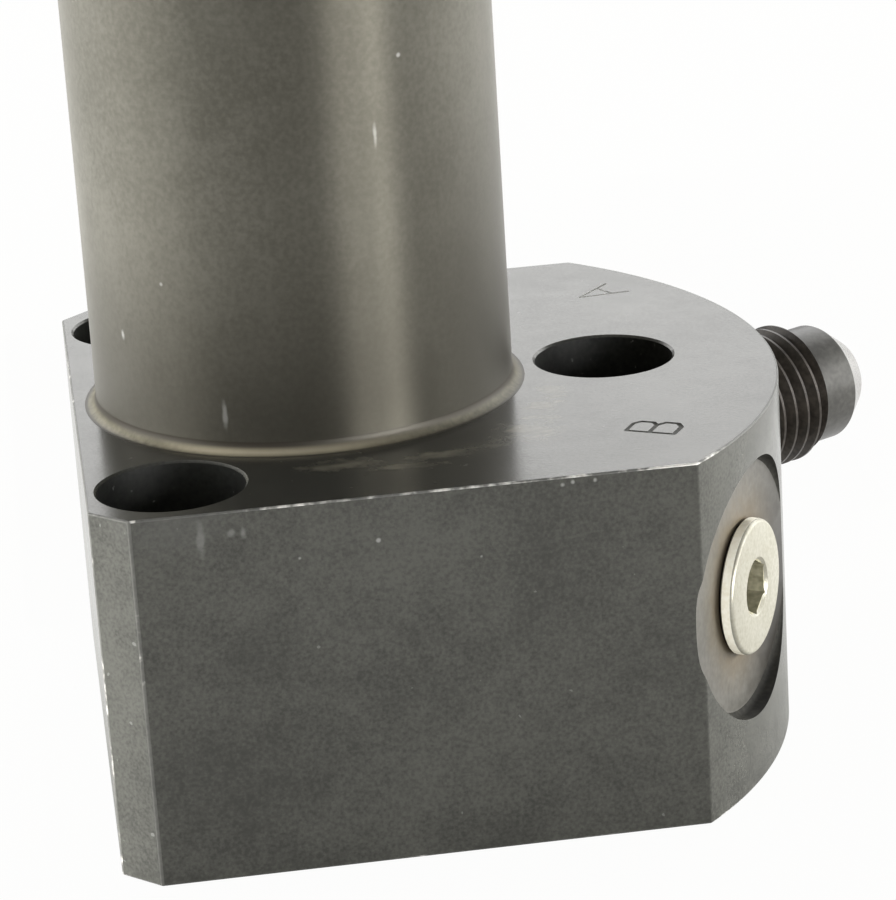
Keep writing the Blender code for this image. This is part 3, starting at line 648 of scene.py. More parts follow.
def make_spotface_oxide():
    """Spotfaces: lighter than the block, golden round what is screwed in, with painted shadow close round it
    and painted shade on the low side, grey towards the rim.
    """
    material, tree, shader, place = new_material("spotface_oxide", 0.35, 0.38)
    base = tinted(tree, place, (0.075, 0.072, 0.062), (0.125, 0.120, 0.106), Cloud_Scale=140)
    colour = base["Color"]
    for angle in (PORT_A_ANGLE, PORT_B_ANGLE):
        floor = port_floor(angle)
        centre = (floor * math.cos(angle), floor * math.sin(angle), PORT_Z)
        # A point below and to one side of each port: the centre of a painted shade on the floor's low side.
        aside = 8.0 * MM
        painted_shade_centre = (
            centre[0] - aside * math.sin(angle), centre[1] + aside * math.cos(angle), PORT_Z - 4.0 * MM
        )
        # Spots: a golden-brown stain round the port, a darker ring close round the screwed-in piece that is
        # brown stain and painted shadow under its head, and the painted shade on the low side.
        for middle, stretch, radius, ragged, share, shade in (
            (centre, (1, 1, 1), 8.2, 0.3, 0.75, (0.150, 0.108, 0.050)),
            (centre, (1, 1, 1), 6.1, 0.3, 0.8, (0.060, 0.036, 0.012)),
            (painted_shade_centre, (1, 1, 0.75), 10.0, 0.4, 0.9, (0.018, 0.016, 0.013)),
        ):
            mask = spot_mask(tree, place, middle, radius * MM, Stretch=stretch, Raggedness=ragged)
            colour = mix_colour(tree, times(tree, mask, share), colour, shade)
    plug_in(tree, shader, Base_Color=colour, Normal=bump(tree, base["Height"], 0.006 * MM, 0.3))
    return material


def make_dark_finish(name, roughness, dark, light, cloud_scale=120):
    """A finish for grooves and corners, mottled between two colours: painted shade on the spotface wall and
    in the plug's socket, and the colours of the port letters.
    """
    material, tree, shader, place = new_material(name, 0.0, roughness, Specular_IOR_Level=0.2)
    base = tinted(tree, place, dark, light, Cloud_Scale=cloud_scale)
    plug_in(tree, shader, Base_Color=base["Color"])
    return material


milled_oxide = make_milled_oxide()
turned_oxide = make_turned_oxide()
fillet_oxide_painted_highlight = make_fillet_oxide()
worn_edge = make_worn_edge()
# Painted shade: the drilled and counterbored surfaces are coloured far darker than the block.
recess_oxide_painted_shade = make_recess_oxide()
spotface_oxide = make_spotface_oxide()
# The spotface wall: painted shade, far darker than the spotface floor cut with it.
spotface_wall_painted_shade = make_dark_finish("spotface_wall_painted_shade", 0.75, (0.008, 0.0075, 0.006), (0.026, 0.025, 0.020))
deep_mark = make_dark_finish("deep_mark", 0.6, (0.11, 0.11, 0.10), (0.21, 0.21, 0.195), 500)
# Letter A: a light colour painted into its grooves in place of the flange top's reflection, which the grooves
# lose.
faint_mark_painted_light = make_dark_finish("faint_mark_painted_light", 0.45, (0.42, 0.42, 0.39), (0.60, 0.60, 0.56), 500)


def flange_block():
    """A round blank cut to a block: square end, chamfered corners, straight sides and a round nose."""
    deselect_all()
    bpy.ops.mesh.primitive_cylinder_add(
        vertices=NOSE_SIDES, radius=NOSE_R, depth=FLANGE_HEIGHT,
        location=(NOSE_CENTRE_X, 0, FLANGE_HEIGHT / 2)
    )
    block = name_active("cylinder_body")
    paint(block, milled_oxide)
    block.data.materials.append(worn_edge)
    start_edit()
    side = FLANGE_HALF_WIDTH
    chamfer_x = FLANGE_END_X + CORNER_CHAMFER
    saw_cuts = [
        ((0, side, 0), (0, 1, 0)),
        ((0, -side, 0), (0, -1, 0)),
        ((FLANGE_END_X, 0, 0), (-1, 0, 0)),
        ((chamfer_x, side, 0), (-1, 1, 0)),
        ((chamfer_x, -side, 0), (-1, -1, 0)),
    ]
    for place, outward in saw_cuts:
        bpy.ops.mesh.select_all(action="SELECT")
        bpy.ops.mesh.bisect(plane_co=place, plane_no=outward, use_fill=True, clear_outer=True)
    bpy.ops.mesh.select_all(action="DESELECT")
    bpy.ops.mesh.edges_select_sharp(sharpness=math.radians(30))
    bpy.ops.mesh.bevel(offset=EDGE_BREAK, segments=3, affect="EDGES", clamp_overlap=False, material=1)
    end_edit()

    def on_nose(centre, normal):
        from_middle = math.hypot(centre.x - NOSE_CENTRE_X, centre.y)
        return abs(normal.z) < 0.1 and from_middle > NOSE_R - 0.02 * MM

    return settle(paint(block, milled_oxide, on_nose))


def barrel():
    """The turned barrel with the fillet at its foot. It starts a little inside the flange."""
    foot_r = BARREL_R + FLANGE_FILLET
    top_r = BARREL_R - BARREL_TOP_CHAMFER
    chamfer_foot = BODY_HEIGHT - BARREL_TOP_CHAMFER
    piece = turned("barrel", [
        (foot_r, FLANGE_HEIGHT - 1 * MM),
        *arc(foot_r, FLANGE_HEIGHT + FLANGE_FILLET, FLANGE_FILLET, 270, 180, 10),
        *arc(BARREL_R - 0.15 * MM, chamfer_foot - 0.15 * MM, 0.15 * MM, 0, 45, 3),
        *arc(top_r - 0.05 * MM, BODY_HEIGHT - 0.15 * MM, 0.15 * MM, 45, 90, 3),
    ], BARREL_SIDES)
    paint(piece, turned_oxide)
    paint(piece, fillet_oxide_painted_highlight, lambda centre, normal: centre.z < FLANGE_HEIGHT + FLANGE_FILLET * 0.93)
    return piece


def bore_tool():
    over = BODY_HEIGHT + 1 * MM
    return paint(turned("bore_tool", [
        (GLAND_BORE_R + 1.3 * MM, over),
        (GLAND_BORE_R, BODY_HEIGHT - 0.3 * MM),
        (GLAND_BORE_R, SLEEVE_TOP),
        (SLEEVE_BORE_R, SLEEVE_TOP),
        (SLEEVE_BORE_R, SLEEVE_SHOULDER),
        (BORE_R, SLEEVE_SHOULDER),
        (BORE_R, BORE_FLOOR),
    ]), recess_oxide_painted_shade)


def bolt_tool():
    """Screw-head recess with a broken rim, and the clearance hole with a broken edge at the underside."""
    over = 1 * MM
    recess_floor = FLANGE_HEIGHT - RECESS_DEPTH
    tool = paint(turned("bolt_tool", [
        (RECESS_R + RIM_CHAMFER + over, FLANGE_HEIGHT + over),
        (RECESS_R, FLANGE_HEIGHT - RIM_CHAMFER),
        (RECESS_R, recess_floor + 0.3 * MM),
        *arc(RECESS_R - 0.3 * MM, recess_floor + 0.3 * MM, 0.3 * MM, 0, -90, 4)[1:],
        (BOLT_HOLE_R, recess_floor),
        (BOLT_HOLE_R, RIM_CHAMFER),
        (BOLT_HOLE_R + RIM_CHAMFER + over, -over),
    ]), recess_oxide_painted_shade)
    return paint(tool, milled_oxide, lambda centre, normal: centre.z > FLANGE_HEIGHT - RIM_CHAMFER)


def port_tool(angle, drill_end):
    """Spotface with the cutter's corner radius, seal seat, thread bore and feed drilling."""
    corner = SPOTFACE_CORNER_R
    cone = (PORT_BORE_R - PORT_DRILL_R) / math.tan(math.radians(59))
    tool = turned("port_tool", [
        (SPOTFACE_R, 6 * MM),
        (SPOTFACE_R, corner),
        *arc(SPOTFACE_R - corner, corner, corner, 0, -90, 6)[1:],
        (PORT_SEAT_R, 0),
        (PORT_BORE_R, -PORT_SEAT_DEPTH),
        (PORT_BORE_R, -PORT_BORE_DEPTH),
        (PORT_DRILL_R, -PORT_BORE_DEPTH - cone),
        (PORT_DRILL_R, drill_end - port_floor(angle)),
    ])
    paint(tool, recess_oxide_painted_shade)
    # Painted shade on the spotface wall.
    paint(tool, spotface_wall_painted_shade, lambda centre, normal: centre.z > -0.01 * MM)
    paint(tool, spotface_oxide, lambda centre, normal: abs(centre.z) < 0.01 * MM and abs(normal.z) > 0.9)
    return to_port(tool, angle)


# Strokes of the two port letters on the flange's top, in a letter's own frame: across, then down
LETTER_A = [((0, -1.8), (-1.45, 1.9)), ((0, -1.8), (1.45, 1.9)), ((-0.95, 0.62), (0.95, 0.62))]
LETTER_B = [
    ((-1.1, -1.75), (-1.1, 1.75)), ((-1.1, -1.75), (0.45, -1.75)), ((0.45, -1.75), (0.95, -1.35)),
    ((0.95, -1.35), (0.95, -0.45)), ((0.95, -0.45), (0.45, -0.05)), ((-1.1, -0.05), (0.45, -0.05)),
    ((0.45, -0.05), (1.1, 0.4)), ((1.1, 0.4), (1.1, 1.3)), ((1.1, 1.3), (0.45, 1.75)),
    ((-1.1, 1.75), (0.45, 1.75)),
]
STROKE_R = 0.17 * MM


def engrave(block, strokes, x, y, down_angle, lift, material):
    """Cuts each stroke as a shallow round groove. Down points away from the barrel."""
    down = Vector((math.cos(down_angle), math.sin(down_angle), 0))
    across = Vector((-math.sin(down_angle), math.cos(down_angle), 0))
    centre = Vector((x * MM, y * MM, FLANGE_HEIGHT + lift))
    for i, (start, end) in enumerate(strokes):
        radius = STROKE_R * (1 + 0.015 * i)
        a = centre + (across * start[0] + down * start[1]) * MM
        b = centre + (across * end[0] + down * end[1]) * MM
        half = (b - a).length / 2
        groove = turned("stroke", [
            (radius * 0.5, -half - radius * 0.6),
            (radius * 0.85, -half - radius * 0.4),
            (radius, -half),
            (radius, half),
            (radius * 0.85, half + radius * 0.4),
            (radius * 0.5, half + radius * 0.6),
        ], 12)
        paint(groove, material)
        turn = (b - a).to_track_quat("Z", "Y").to_matrix().to_4x4()
        groove.matrix_world = Matrix.Translation((a + b) / 2) @ turn
        cut(block, settle(groove))


def make_body():
    body = flange_block()
    join(body, barrel())
    cut(body, bore_tool())
    cut_round(body, bolt_tool(), 3, BOLT_CIRCLE_R)
    cut(body, port_tool(PORT_A_ANGLE, OIL_WAY_CIRCLE_R - OIL_WAY_R))
    cut(body, port_tool(PORT_B_ANGLE, BORE_R - 1 * MM))
    oil_way = turned("oil_way_tool", [(OIL_WAY_R, PORT_Z), (OIL_WAY_R, SLEEVE_TOP + 1 * MM)], SMALL_SIDES)
    oil_way.location.x = OIL_WAY_CIRCLE_R * math.cos(PORT_A_ANGLE)
    oil_way.location.y = OIL_WAY_CIRCLE_R * math.sin(PORT_A_ANGLE)
    cut(body, settle(paint(oil_way, recess_oxide_painted_shade)))
    # Letter A, with painted light in its grooves.
    engrave(body, LETTER_A, 24.5, 16.1, math.radians(28), 0.12 * MM, faint_mark_painted_light)
    engrave(body, LETTER_B, 22.5, -17.2, math.radians(-31), 0.05 * MM, deep_mark)
    shade_round(body)
    return body


body = make_body()
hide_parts("body")
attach(body, "housing")


def make_zinc(name, metallic, dark, light):
    """Zinc plate with a thin yellow passivate, a little dull in patches."""
    material, tree, shader, place = new_material(name, metallic, 0.34)
    base = tinted(tree, place, dark, light, Cloud_Scale=260, Grain_Scale=4000)
    plug_in(
        tree, shader, Base_Color=base["Color"],
        Roughness=ramp(tree, base["Value"], 0, 1, 0.45, 0.30),
        Normal=bump(tree, base["Height"], 0.005 * MM, 0.3)
    )
    return material


def make_fitting_oxide(name, dark, light):
    """Oiled black oxide on the turned fitting."""
    material, tree, shader, place = new_material(name, 0.3, 0.34)
    base = tinted(tree, place, dark, light, Cloud_Scale=200)
    plug_in(tree, shader, Base_Color=base["Color"], Normal=bump(tree, base["Height"], 0.006 * MM, 0.4))
    return material


def make_ground_steel():
    """Turned and ground steel with fine rings."""
    material, tree, shader, place = new_material("ground_steel", 0.95, 0.30)
    axis = axes(tree, place)
    flat = node(tree, "ShaderNodeCombineXYZ", inputs={"X": axis["X"], "Y": axis["Y"]})
    radius = vector_math(tree, "LENGTH", flat.outputs["Vector"])["Value"]
    along = math_node(tree, "ADD", radius, axis["Z"])
    base = tinted(tree, place, (0.40, 0.39, 0.37), (0.56, 0.55, 0.53), Cloud_Scale=110)
    rings = use_group(tree, turning_marks, Place=place, Along=along, Pitch=0.16 * MM)["Height"]
    plug_in(
        tree, shader, Base_Color=base["Color"],
        Roughness=ramp(tree, base["Value"], 0, 1, 0.38, 0.24),
        Normal=bump(tree, rings, 0.003 * MM, 0.35)
    )
    return material


def make_chromed_steel():
    """The plunger: ground, hard chromed, with faint length scratches."""
    material, tree, shader, place = new_material("chromed_steel", 1.0, 0.14)
    stretched = node(tree, "ShaderNodeMapping", inputs={"Vector": place, "Scale": (1, 1, 0.05)})
    scratch = ramp(tree, noise(tree, stretched.outputs["Vector"], 2600, 2), 0.66, 0.74)
    base = tinted(tree, place, (0.56, 0.56, 0.56), (0.66, 0.66, 0.655), Cloud_Scale=60)
    scuffed = times(tree, scratch, 0.12)
    plug_in(
        tree, shader, Base_Color=base["Color"],
        Roughness=math_node(tree, "ADD", ramp(tree, base["Value"], 0, 1, 0.18, 0.11), scuffed),
        Normal=bump(tree, scratch, 0.002 * MM, 0.4)
    )
    return material


def make_plain_finish(name, metallic, roughness, dark, light, cloud_scale, grain_depth):
    """A finish with mottled colour and a fine grain in its surface."""
    material, tree, shader, place = new_material(name, metallic, roughness)
    base = tinted(tree, place, dark, light, Cloud_Scale=cloud_scale)
    plug_in(
        tree, shader, Base_Color=base["Color"],
        Roughness=ramp(tree, base["Value"], 0, 1, roughness + 0.07, roughness - 0.05),
        Normal=bump(tree, base["Height"], grain_depth * MM, 0.4)
    )
    return material


zinc_passivate = make_zinc("zinc_passivate", 0.45, (0.295, 0.282, 0.222), (0.375, 0.362, 0.305))
# The plug head's side: the same zinc painted far lighter, as painted light on a side that the lamps leave
# dim.
zinc_rim_painted_light = make_zinc("zinc_rim_painted_light", 0.0, (0.80, 0.76, 0.62), (0.92, 0.90, 0.80))
# Painted shade in the plug's hexagon socket.
socket_painted_shade = make_dark_finish("socket_painted_shade", 0.4, (0.15, 0.14, 0.09), (0.34, 0.325, 0.24), 300)
fitting_oxide = make_fitting_oxide("fitting_oxide", (0.048, 0.0465, 0.042), (0.085, 0.083, 0.075))
thread_oxide = make_fitting_oxide("thread_oxide", (0.018, 0.015, 0.012), (0.058, 0.049, 0.040))
ground_steel = make_ground_steel()
chromed_steel = make_chromed_steel()
bronze = make_plain_finish("sleeve_bronze", 0.95, 0.34, (0.42, 0.27, 0.12), (0.58, 0.40, 0.20), 150, 0.006)
spring_wire = make_plain_finish("spring_wire", 0.9, 0.36, (0.20, 0.20, 0.21), (0.34, 0.34, 0.35), 180, 0.006)
rubber = make_plain_finish("seal_rubber", 0.0, 0.52, (0.012, 0.012, 0.012), (0.028, 0.028, 0.027), 220, 0.008)
ptfe = make_plain_finish("backup_plastic", 0.0, 0.46, (0.62, 0.61, 0.56), (0.76, 0.75, 0.70), 200, 0.006)


# Port plug
PLUG_HEAD_R = 4.8 * MM
PLUG_HEAD_FOOT = 0.18 * MM
PLUG_HEAD_TOP = 1.15 * MM
PLUG_HEAD_ROUND = 0.35 * MM
PLUG_HEX = 3.57 * MM
PLUG_HEX_DEPTH = 3.4 * MM
PLUG_VENT_R = 0.6 * MM


def stem_profile():
    """The end that screws into a port, from its tip up to the neck under the head."""
    chamfer = STEM_CREST_R - STEM_ROOT_R
    return [
        (STEM_ROOT_R, -STEM_LENGTH),
        (STEM_CREST_R, -STEM_LENGTH + chamfer),
        (STEM_CREST_R, STEM_NECK_FOOT - (STEM_CREST_R - STEM_NECK_R)),
        (STEM_NECK_R, STEM_NECK_FOOT),
    ]


def stem_thread():
    foot = -STEM_LENGTH - STEM_PITCH
    return thread_tool("stem_thread", STEM_ROOT_R, STEM_PITCH, foot, STEM_NECK_FOOT - STEM_PITCH)


def hex_bar(name, across_flats, foot, top):
    """A hexagonal bar with corners at local +X and -X."""
    deselect_all()
    bpy.ops.mesh.primitive_cylinder_add(
        vertices=6, radius=across_flats / math.sqrt(3), depth=top - foot, location=(0, 0, (foot + top) / 2),
        rotation=(0, 0, math.pi / 6)
    )
    return settle(name_active(name))


def make_port_plug():
    """Hollow-hexagon plug with a low crowned head, a chamfered socket and a vent drilled through."""
    top = PLUG_HEAD_TOP
    rim = PLUG_HEAD_ROUND
    plug = turned("hollow_hex_plug", [
        *stem_profile(),
        (STEM_NECK_R, PLUG_HEAD_FOOT),
        (PLUG_HEAD_R - 0.1 * MM, PLUG_HEAD_FOOT),
        (PLUG_HEAD_R, PLUG_HEAD_FOOT + 0.1 * MM),
        *arc(PLUG_HEAD_R - rim, top - rim, rim, 0, 80, 6),
        (PLUG_HEAD_R * 0.6, top - 0.02 * MM),
        (PLUG_HEAD_R * 0.55, top),
    ])
    cut(plug, stem_thread())
    floor = top - PLUG_HEX_DEPTH
    point_r = PLUG_HEX * 0.48
    cut(plug, turned("vent_tool", [
        (PLUG_VENT_R, -STEM_LENGTH - 1 * MM),
        (PLUG_VENT_R, floor - (point_r - PLUG_VENT_R) * 0.6),
        (point_r, floor),
        (point_r, floor + 0.1 * MM),
    ], SMALL_SIDES))
    cut(plug, hex_bar("socket_tool", PLUG_HEX, floor + 0.03 * MM, top + 1 * MM))
    corner_r = PLUG_HEX / math.sqrt(3)
    mouth = 0.12 * MM
    cut(plug, turned("socket_mouth_tool", [
        (corner_r - mouth, top - mouth * 1.6), (corner_r + mouth * 1.4, top + mouth * 0.8)
    ], SMALL_SIDES + 2))
    paint(plug, zinc_passivate)
    # Painted light on the head's side wall.
    paint(plug, zinc_rim_painted_light, lambda centre, normal: (
        abs(normal.z) < 0.3 and math.hypot(centre.x, centre.y) > PLUG_HEAD_R - 0.1 * MM
    ))
    # Painted shade inside the hexagon socket.
    paint(plug, socket_painted_shade, lambda centre, normal: centre.z > floor - 1 * MM and (
        math.hypot(centre.x, centre.y) < corner_r and centre.z < top - mouth
    ))
    shade_round(plug, 34)
    return to_port(plug, PORT_B_ANGLE)


port_plug = make_port_plug()
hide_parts("port_plug")
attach(port_plug, "housing")

# Flare fitting
HEX_FOOT = 0.3 * MM
HEX_TOP = 6.1 * MM
HEX_FLATS = 12.7 * MM
FLARE_RELIEF_TOP = 7.1 * MM
FLARE_RELIEF_R = 4.7 * MM
FLARE_CREST_R = 5.55 * MM
FLARE_ROOT_R = 4.78 * MM
FLARE_PITCH = 1.27 * MM
FLARE_THREAD_TOP = 13.84 * MM
FLARE_NOSE_R = 4.7 * MM
FLARE_NOSE_TOP = 17.24 * MM
FLARE_TIP_R = 3.0 * MM
FLARE_TIP = 19.496 * MM
FLARE_BORE_R = 2.2 * MM
FLARE_INNER_BORE_R = 1.6 * MM


def make_flare_fitting():
    """Straight adapter: port thread, hexagon, male thread and a flared nose."""
    hexagon = hex_bar("flare_adapter", HEX_FLATS, HEX_FOOT, HEX_TOP)
    corner_r = HEX_FLATS / math.sqrt(3)
    flat_r = HEX_FLATS / 2
    slope = math.tan(math.radians(30))
    over = 1 * MM
    washer_r = flat_r * 0.97
    combine(hexagon, turned("hex_turning", [
        (washer_r, HEX_FOOT),
        (corner_r + over, HEX_FOOT + (corner_r + over - washer_r) * slope),
        (corner_r + over, HEX_TOP - (corner_r + over - washer_r) * slope),
        (washer_r, HEX_TOP),
    ]), "INTERSECT")
    lead = 0.4 * MM
    stem = turned("adapter_stem", [
        *stem_profile(),
        (STEM_NECK_R, HEX_FOOT + over),
        (FLARE_RELIEF_R, HEX_FOOT + over),
        (FLARE_RELIEF_R, FLARE_RELIEF_TOP),
        (FLARE_CREST_R, FLARE_RELIEF_TOP + FLARE_CREST_R - FLARE_RELIEF_R),
        (FLARE_CREST_R, FLARE_THREAD_TOP - lead),
        (FLARE_NOSE_R, FLARE_THREAD_TOP),
        (FLARE_NOSE_R, FLARE_NOSE_TOP - 0.12 * MM),
        (FLARE_NOSE_R - 0.06 * MM, FLARE_NOSE_TOP),
        (FLARE_TIP_R + 0.15 * MM, FLARE_TIP - 0.16 * MM),
        (FLARE_TIP_R, FLARE_TIP),
    ])
    cut(stem, stem_thread())
    cut(stem, thread_tool(
        "flare_thread", FLARE_ROOT_R, FLARE_PITCH, FLARE_RELIEF_TOP - FLARE_PITCH,
        FLARE_THREAD_TOP + FLARE_PITCH * 0.5
    ))
    join(hexagon, stem)
    cut(hexagon, turned("adapter_bore", [
        (FLARE_INNER_BORE_R + 0.3 * MM, -STEM_LENGTH - 0.01 * MM),
        (FLARE_INNER_BORE_R, -STEM_LENGTH + 0.3 * MM),
        (FLARE_INNER_BORE_R, HEX_FOOT - 0.6 * MM),
        (FLARE_BORE_R, HEX_FOOT),
        (FLARE_BORE_R, FLARE_TIP - 0.25 * MM),
        (FLARE_BORE_R + 0.27 * MM, FLARE_TIP + 0.02 * MM),
    ], SMALL_SIDES))
    paint(hexagon, fitting_oxide)
    paint(hexagon, thread_oxide, lambda centre, normal: FLARE_RELIEF_TOP < centre.z < FLARE_THREAD_TOP)
    paint(hexagon, ground_steel, lambda centre, normal: centre.z > FLARE_NOSE_TOP + 0.05 * MM)
    shade_round(hexagon, 34)
    return to_port(hexagon, PORT_A_ANGLE)


flare_fitting = make_flare_fitting()
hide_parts("flare_fitting")
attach(flare_fitting, "housing")

# Gland
GLAND_R = 11.7 * MM
GLAND_FOOT = 73.65 * MM
GLAND_RELIEF_TOP = 74.85 * MM
SLEEVE_R = 9.0 * MM
RUNNING_R = 5.3 * MM
ROD_SEAL_R = 7.1 * MM
WIPER_R = 7.0 * MM
LIP_R = 5.9 * MM
WIPER_TOP = 88.4 * MM
WIPER_FOOT = 85.6 * MM
ROD_SEAL_TOP = 83.2 * MM
ROD_SEAL_FOOT = 78.9 * MM
O_RING_GROOVE_R = 9.9 * MM
O_RING_GROOVE_FOOT = 77.25 * MM
O_RING_GROOVE_TOP = 80.65 * MM
SPANNER_HOLE_R = 1.25 * MM
SPANNER_HOLE_DEPTH = 3.0 * MM


def make_gland():
    """Head that closes the barrel, turned without its thread, with four chamfered spanner holes."""
    edge = 0.35 * MM
    gland = turned("gland_head", [
        (LIP_R + 0.15 * MM, BODY_HEIGHT),
        (GLAND_R - edge, BODY_HEIGHT),
        (GLAND_R, BODY_HEIGHT - edge),
        *groove(GLAND_R, O_RING_GROOVE_R, O_RING_GROOVE_TOP, O_RING_GROOVE_FOOT),
        (GLAND_R, GLAND_RELIEF_TOP),
        (SLEEVE_R, GLAND_RELIEF_TOP),
        (SLEEVE_R, GLAND_FOOT),
        (RUNNING_R, GLAND_FOOT),
        *groove(RUNNING_R, ROD_SEAL_R, ROD_SEAL_FOOT, ROD_SEAL_TOP),
        (RUNNING_R, WIPER_FOOT),
        (WIPER_R, WIPER_FOOT),
        (WIPER_R, WIPER_TOP),
        (LIP_R, WIPER_TOP),
        (LIP_R, BODY_HEIGHT - 0.15 * MM),
    ], closed=True)
    chamfer = 0.2 * MM
    spanner_hole = turned("spanner_hole_tool", [
        (0.1 * MM, BODY_HEIGHT - SPANNER_HOLE_DEPTH - 0.6 * MM),
        (SPANNER_HOLE_R, BODY_HEIGHT - SPANNER_HOLE_DEPTH),
        (SPANNER_HOLE_R, BODY_HEIGHT - chamfer),
        (SPANNER_HOLE_R + chamfer * 2, BODY_HEIGHT + chamfer),
    ], SMALL_SIDES)
    cut_round(gland, spanner_hole, 4, (WIPER_R + GLAND_R) / 2, math.tau / 8)
    paint(gland, ground_steel)
    shade_round(gland)
    return gland


gland = make_gland()
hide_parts("gland")
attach(gland, "housing")


def make_wiper():
    """Rod wiper with its lip bearing towards the plunger."""
    gap = 0.3 * MM
    outer = WIPER_R - gap
    low = WIPER_FOOT + gap
    high = WIPER_TOP - gap
    wiper = turned("wiper_ring", [
        (RUNNING_R + 0.12 * MM, high),
        (outer - 0.1 * MM, high),
        (outer, high - 0.1 * MM),
        (outer, low + 0.1 * MM),
        (outer - 0.1 * MM, low),
        (LIP_R, low),
        (RUNNING_R, high - 0.73 * MM),
        (RUNNING_R, high - 0.12 * MM),
    ], closed=True)
    paint(wiper, rubber)
    shade_round(wiper)
    return wiper


wiper = make_wiper()
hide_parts("rod_wiper")
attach(wiper, "housing")

# Plunger
PLUNGER_R = 5.0 * MM
PLUNGER_TOP = 122.2 * MM
PISTON_R = 6.7 * MM
PISTON_TOP = 54.55 * MM
PISTON_FOOT = 45.55 * MM
SPIGOT_R = 3.4 * MM
SPIGOT_FOOT = 42.95 * MM
SEAL_GROOVE_R = 5.2 * MM
SEAL_GROOVE_TOP = 53.35 * MM
SEAL_GROOVE_FOOT = 49.05 * MM
GUIDE_GROOVE_R = 5.4 * MM
GUIDE_GROOVE_TOP = 48.25 * MM
GUIDE_GROOVE_FOOT = 46.05 * MM
BALL_Z = 67.3512 * MM
BALL_SPACE_R = 1.8 * MM
BALL_ORBIT_R = 5.35 * MM
SWING_STROKE = 8.4 * MM
SWING_ANGLE = math.radians(90)


def cam_groove_tool():
    """The way of one ball round the plunger: a round section carried up and round."""
    slope = math.atan2(SWING_STROKE, BALL_ORBIT_R * SWING_ANGLE)
    overrun = BALL_SPACE_R * math.sin(slope)
    rise = SWING_STROKE + 2 * overrun
    turn = SWING_ANGLE * rise / SWING_STROKE

    def section(name):
        bpy.ops.mesh.primitive_circle_add(vertices=24, radius=BALL_SPACE_R, rotation=(math.pi / 2, 0, 0))
        name_active(name)
        settle(bpy.context.object)
        start_edit()
        bpy.ops.transform.resize(value=(1, 1, 1 / math.cos(slope)))
        bpy.ops.transform.translate(value=(BALL_ORBIT_R, 0, BALL_Z - overrun))
        end_edit()

    tool = swept_round("cam_groove_tool", section, turn, rise, 28)
    tool.rotation_euler.z = -overrun / SWING_STROKE * SWING_ANGLE
    return settle(tool)


def make_plunger():
    """Plunger and piston in one piece, ground and chromed, with three helical grooves."""
    edge = 0.4 * MM
    plunger = turned("plunger_rod", [
        (SPIGOT_R - edge, SPIGOT_FOOT),
        (SPIGOT_R, SPIGOT_FOOT + edge),
        (SPIGOT_R, PISTON_FOOT),
        (PISTON_R - 0.15 * MM, PISTON_FOOT),
        (PISTON_R, PISTON_FOOT + 0.15 * MM),
        *groove(PISTON_R, GUIDE_GROOVE_R, GUIDE_GROOVE_FOOT, GUIDE_GROOVE_TOP),
        *groove(PISTON_R, SEAL_GROOVE_R, SEAL_GROOVE_FOOT, SEAL_GROOVE_TOP),
        (PISTON_R, PISTON_TOP - edge),
        (PISTON_R - edge, PISTON_TOP),
        (PLUNGER_R, PISTON_TOP),
        *arc(PLUNGER_R - 0.3 * MM, PLUNGER_TOP - 1.12 * MM, 0.3 * MM, 0, 45, 4),
        *arc(PLUNGER_R - 1.12 * MM, PLUNGER_TOP - 0.3 * MM, 0.3 * MM, 45, 90, 4),
    ])
    cut_round(plunger, cam_groove_tool(), 3)
    cut(plunger, turned("centre_tool", [
        (0.05 * MM, PLUNGER_TOP - 2.6 * MM), (1.5 * MM, PLUNGER_TOP), (1.5 * MM, PLUNGER_TOP + 1 * MM)
    ], SMALL_SIDES))
    paint(plunger, chromed_steel)
    shade_round(plunger)
    return plunger


plunger = make_plunger()
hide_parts("plunger")
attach(plunger, "plunger_group")


# Finishes of the CAD nodes that stay
for finish, names in (
    (ground_steel, ("guide_ball_1", "guide_ball_2", "guide_ball_3", "thrust_washer", "spring_seat")),
    (rubber, ("rod_seal", "gland_o_ring", "piston_seal", "plug_o_ring", "fitting_o_ring")),
    (ptfe, ("rod_backup_ring", "gland_backup_ring", "piston_backup_ring")),
    (bronze, ("guide_sleeve", "piston_guide_ring")),
    (spring_wire, ("return_spring",)),
):
    for name in names:
        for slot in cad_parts[name].material_slots:
            slot.material = finish


def make_floor():
    deselect_all()
    bpy.ops.mesh.primitive_circle_add(vertices=96, radius=FLOOR_R, fill_type="NGON", location=(0, 0, 0))
    floor = name_active("floor")
    material = bpy.data.materials.new("floor_white")
    material.use_nodes = True
    tree = material.node_tree
    tree.nodes.clear()
    paths = node(tree, "ShaderNodeLightPath")
    place = node(tree, "ShaderNodeTexCoord").outputs["Object"]
    depth = axes(tree, place)["Y"]
    mirrored = times(tree, paths.outputs["Is Glossy Ray"], ramp(tree, depth, -20 * MM, 35 * MM))
    seen = times(tree, paths.outputs["Is Camera Ray"], SEEN_SHARE)
    share = math_node(tree, "MAXIMUM", seen, mirrored)
    paper = node(tree, "ShaderNodeBsdfDiffuse", inputs={"Color": (0.8, 0.8, 0.79, 1)})
    glow = node(tree, "ShaderNodeEmission", inputs={"Color": (1, 1, 0.995, 1), "Strength": 1.0})
    mixed = node(tree, "ShaderNodeMixShader", inputs={"Fac": share})
    tree.links.new(paper.outputs["BSDF"], mixed.inputs[1])
    tree.links.new(glow.outputs["Emission"], mixed.inputs[2])
    out = node(tree, "ShaderNodeOutputMaterial")
    tree.links.new(mixed.outputs["Shader"], out.inputs["Surface"])
    floor.data.materials.append(material)


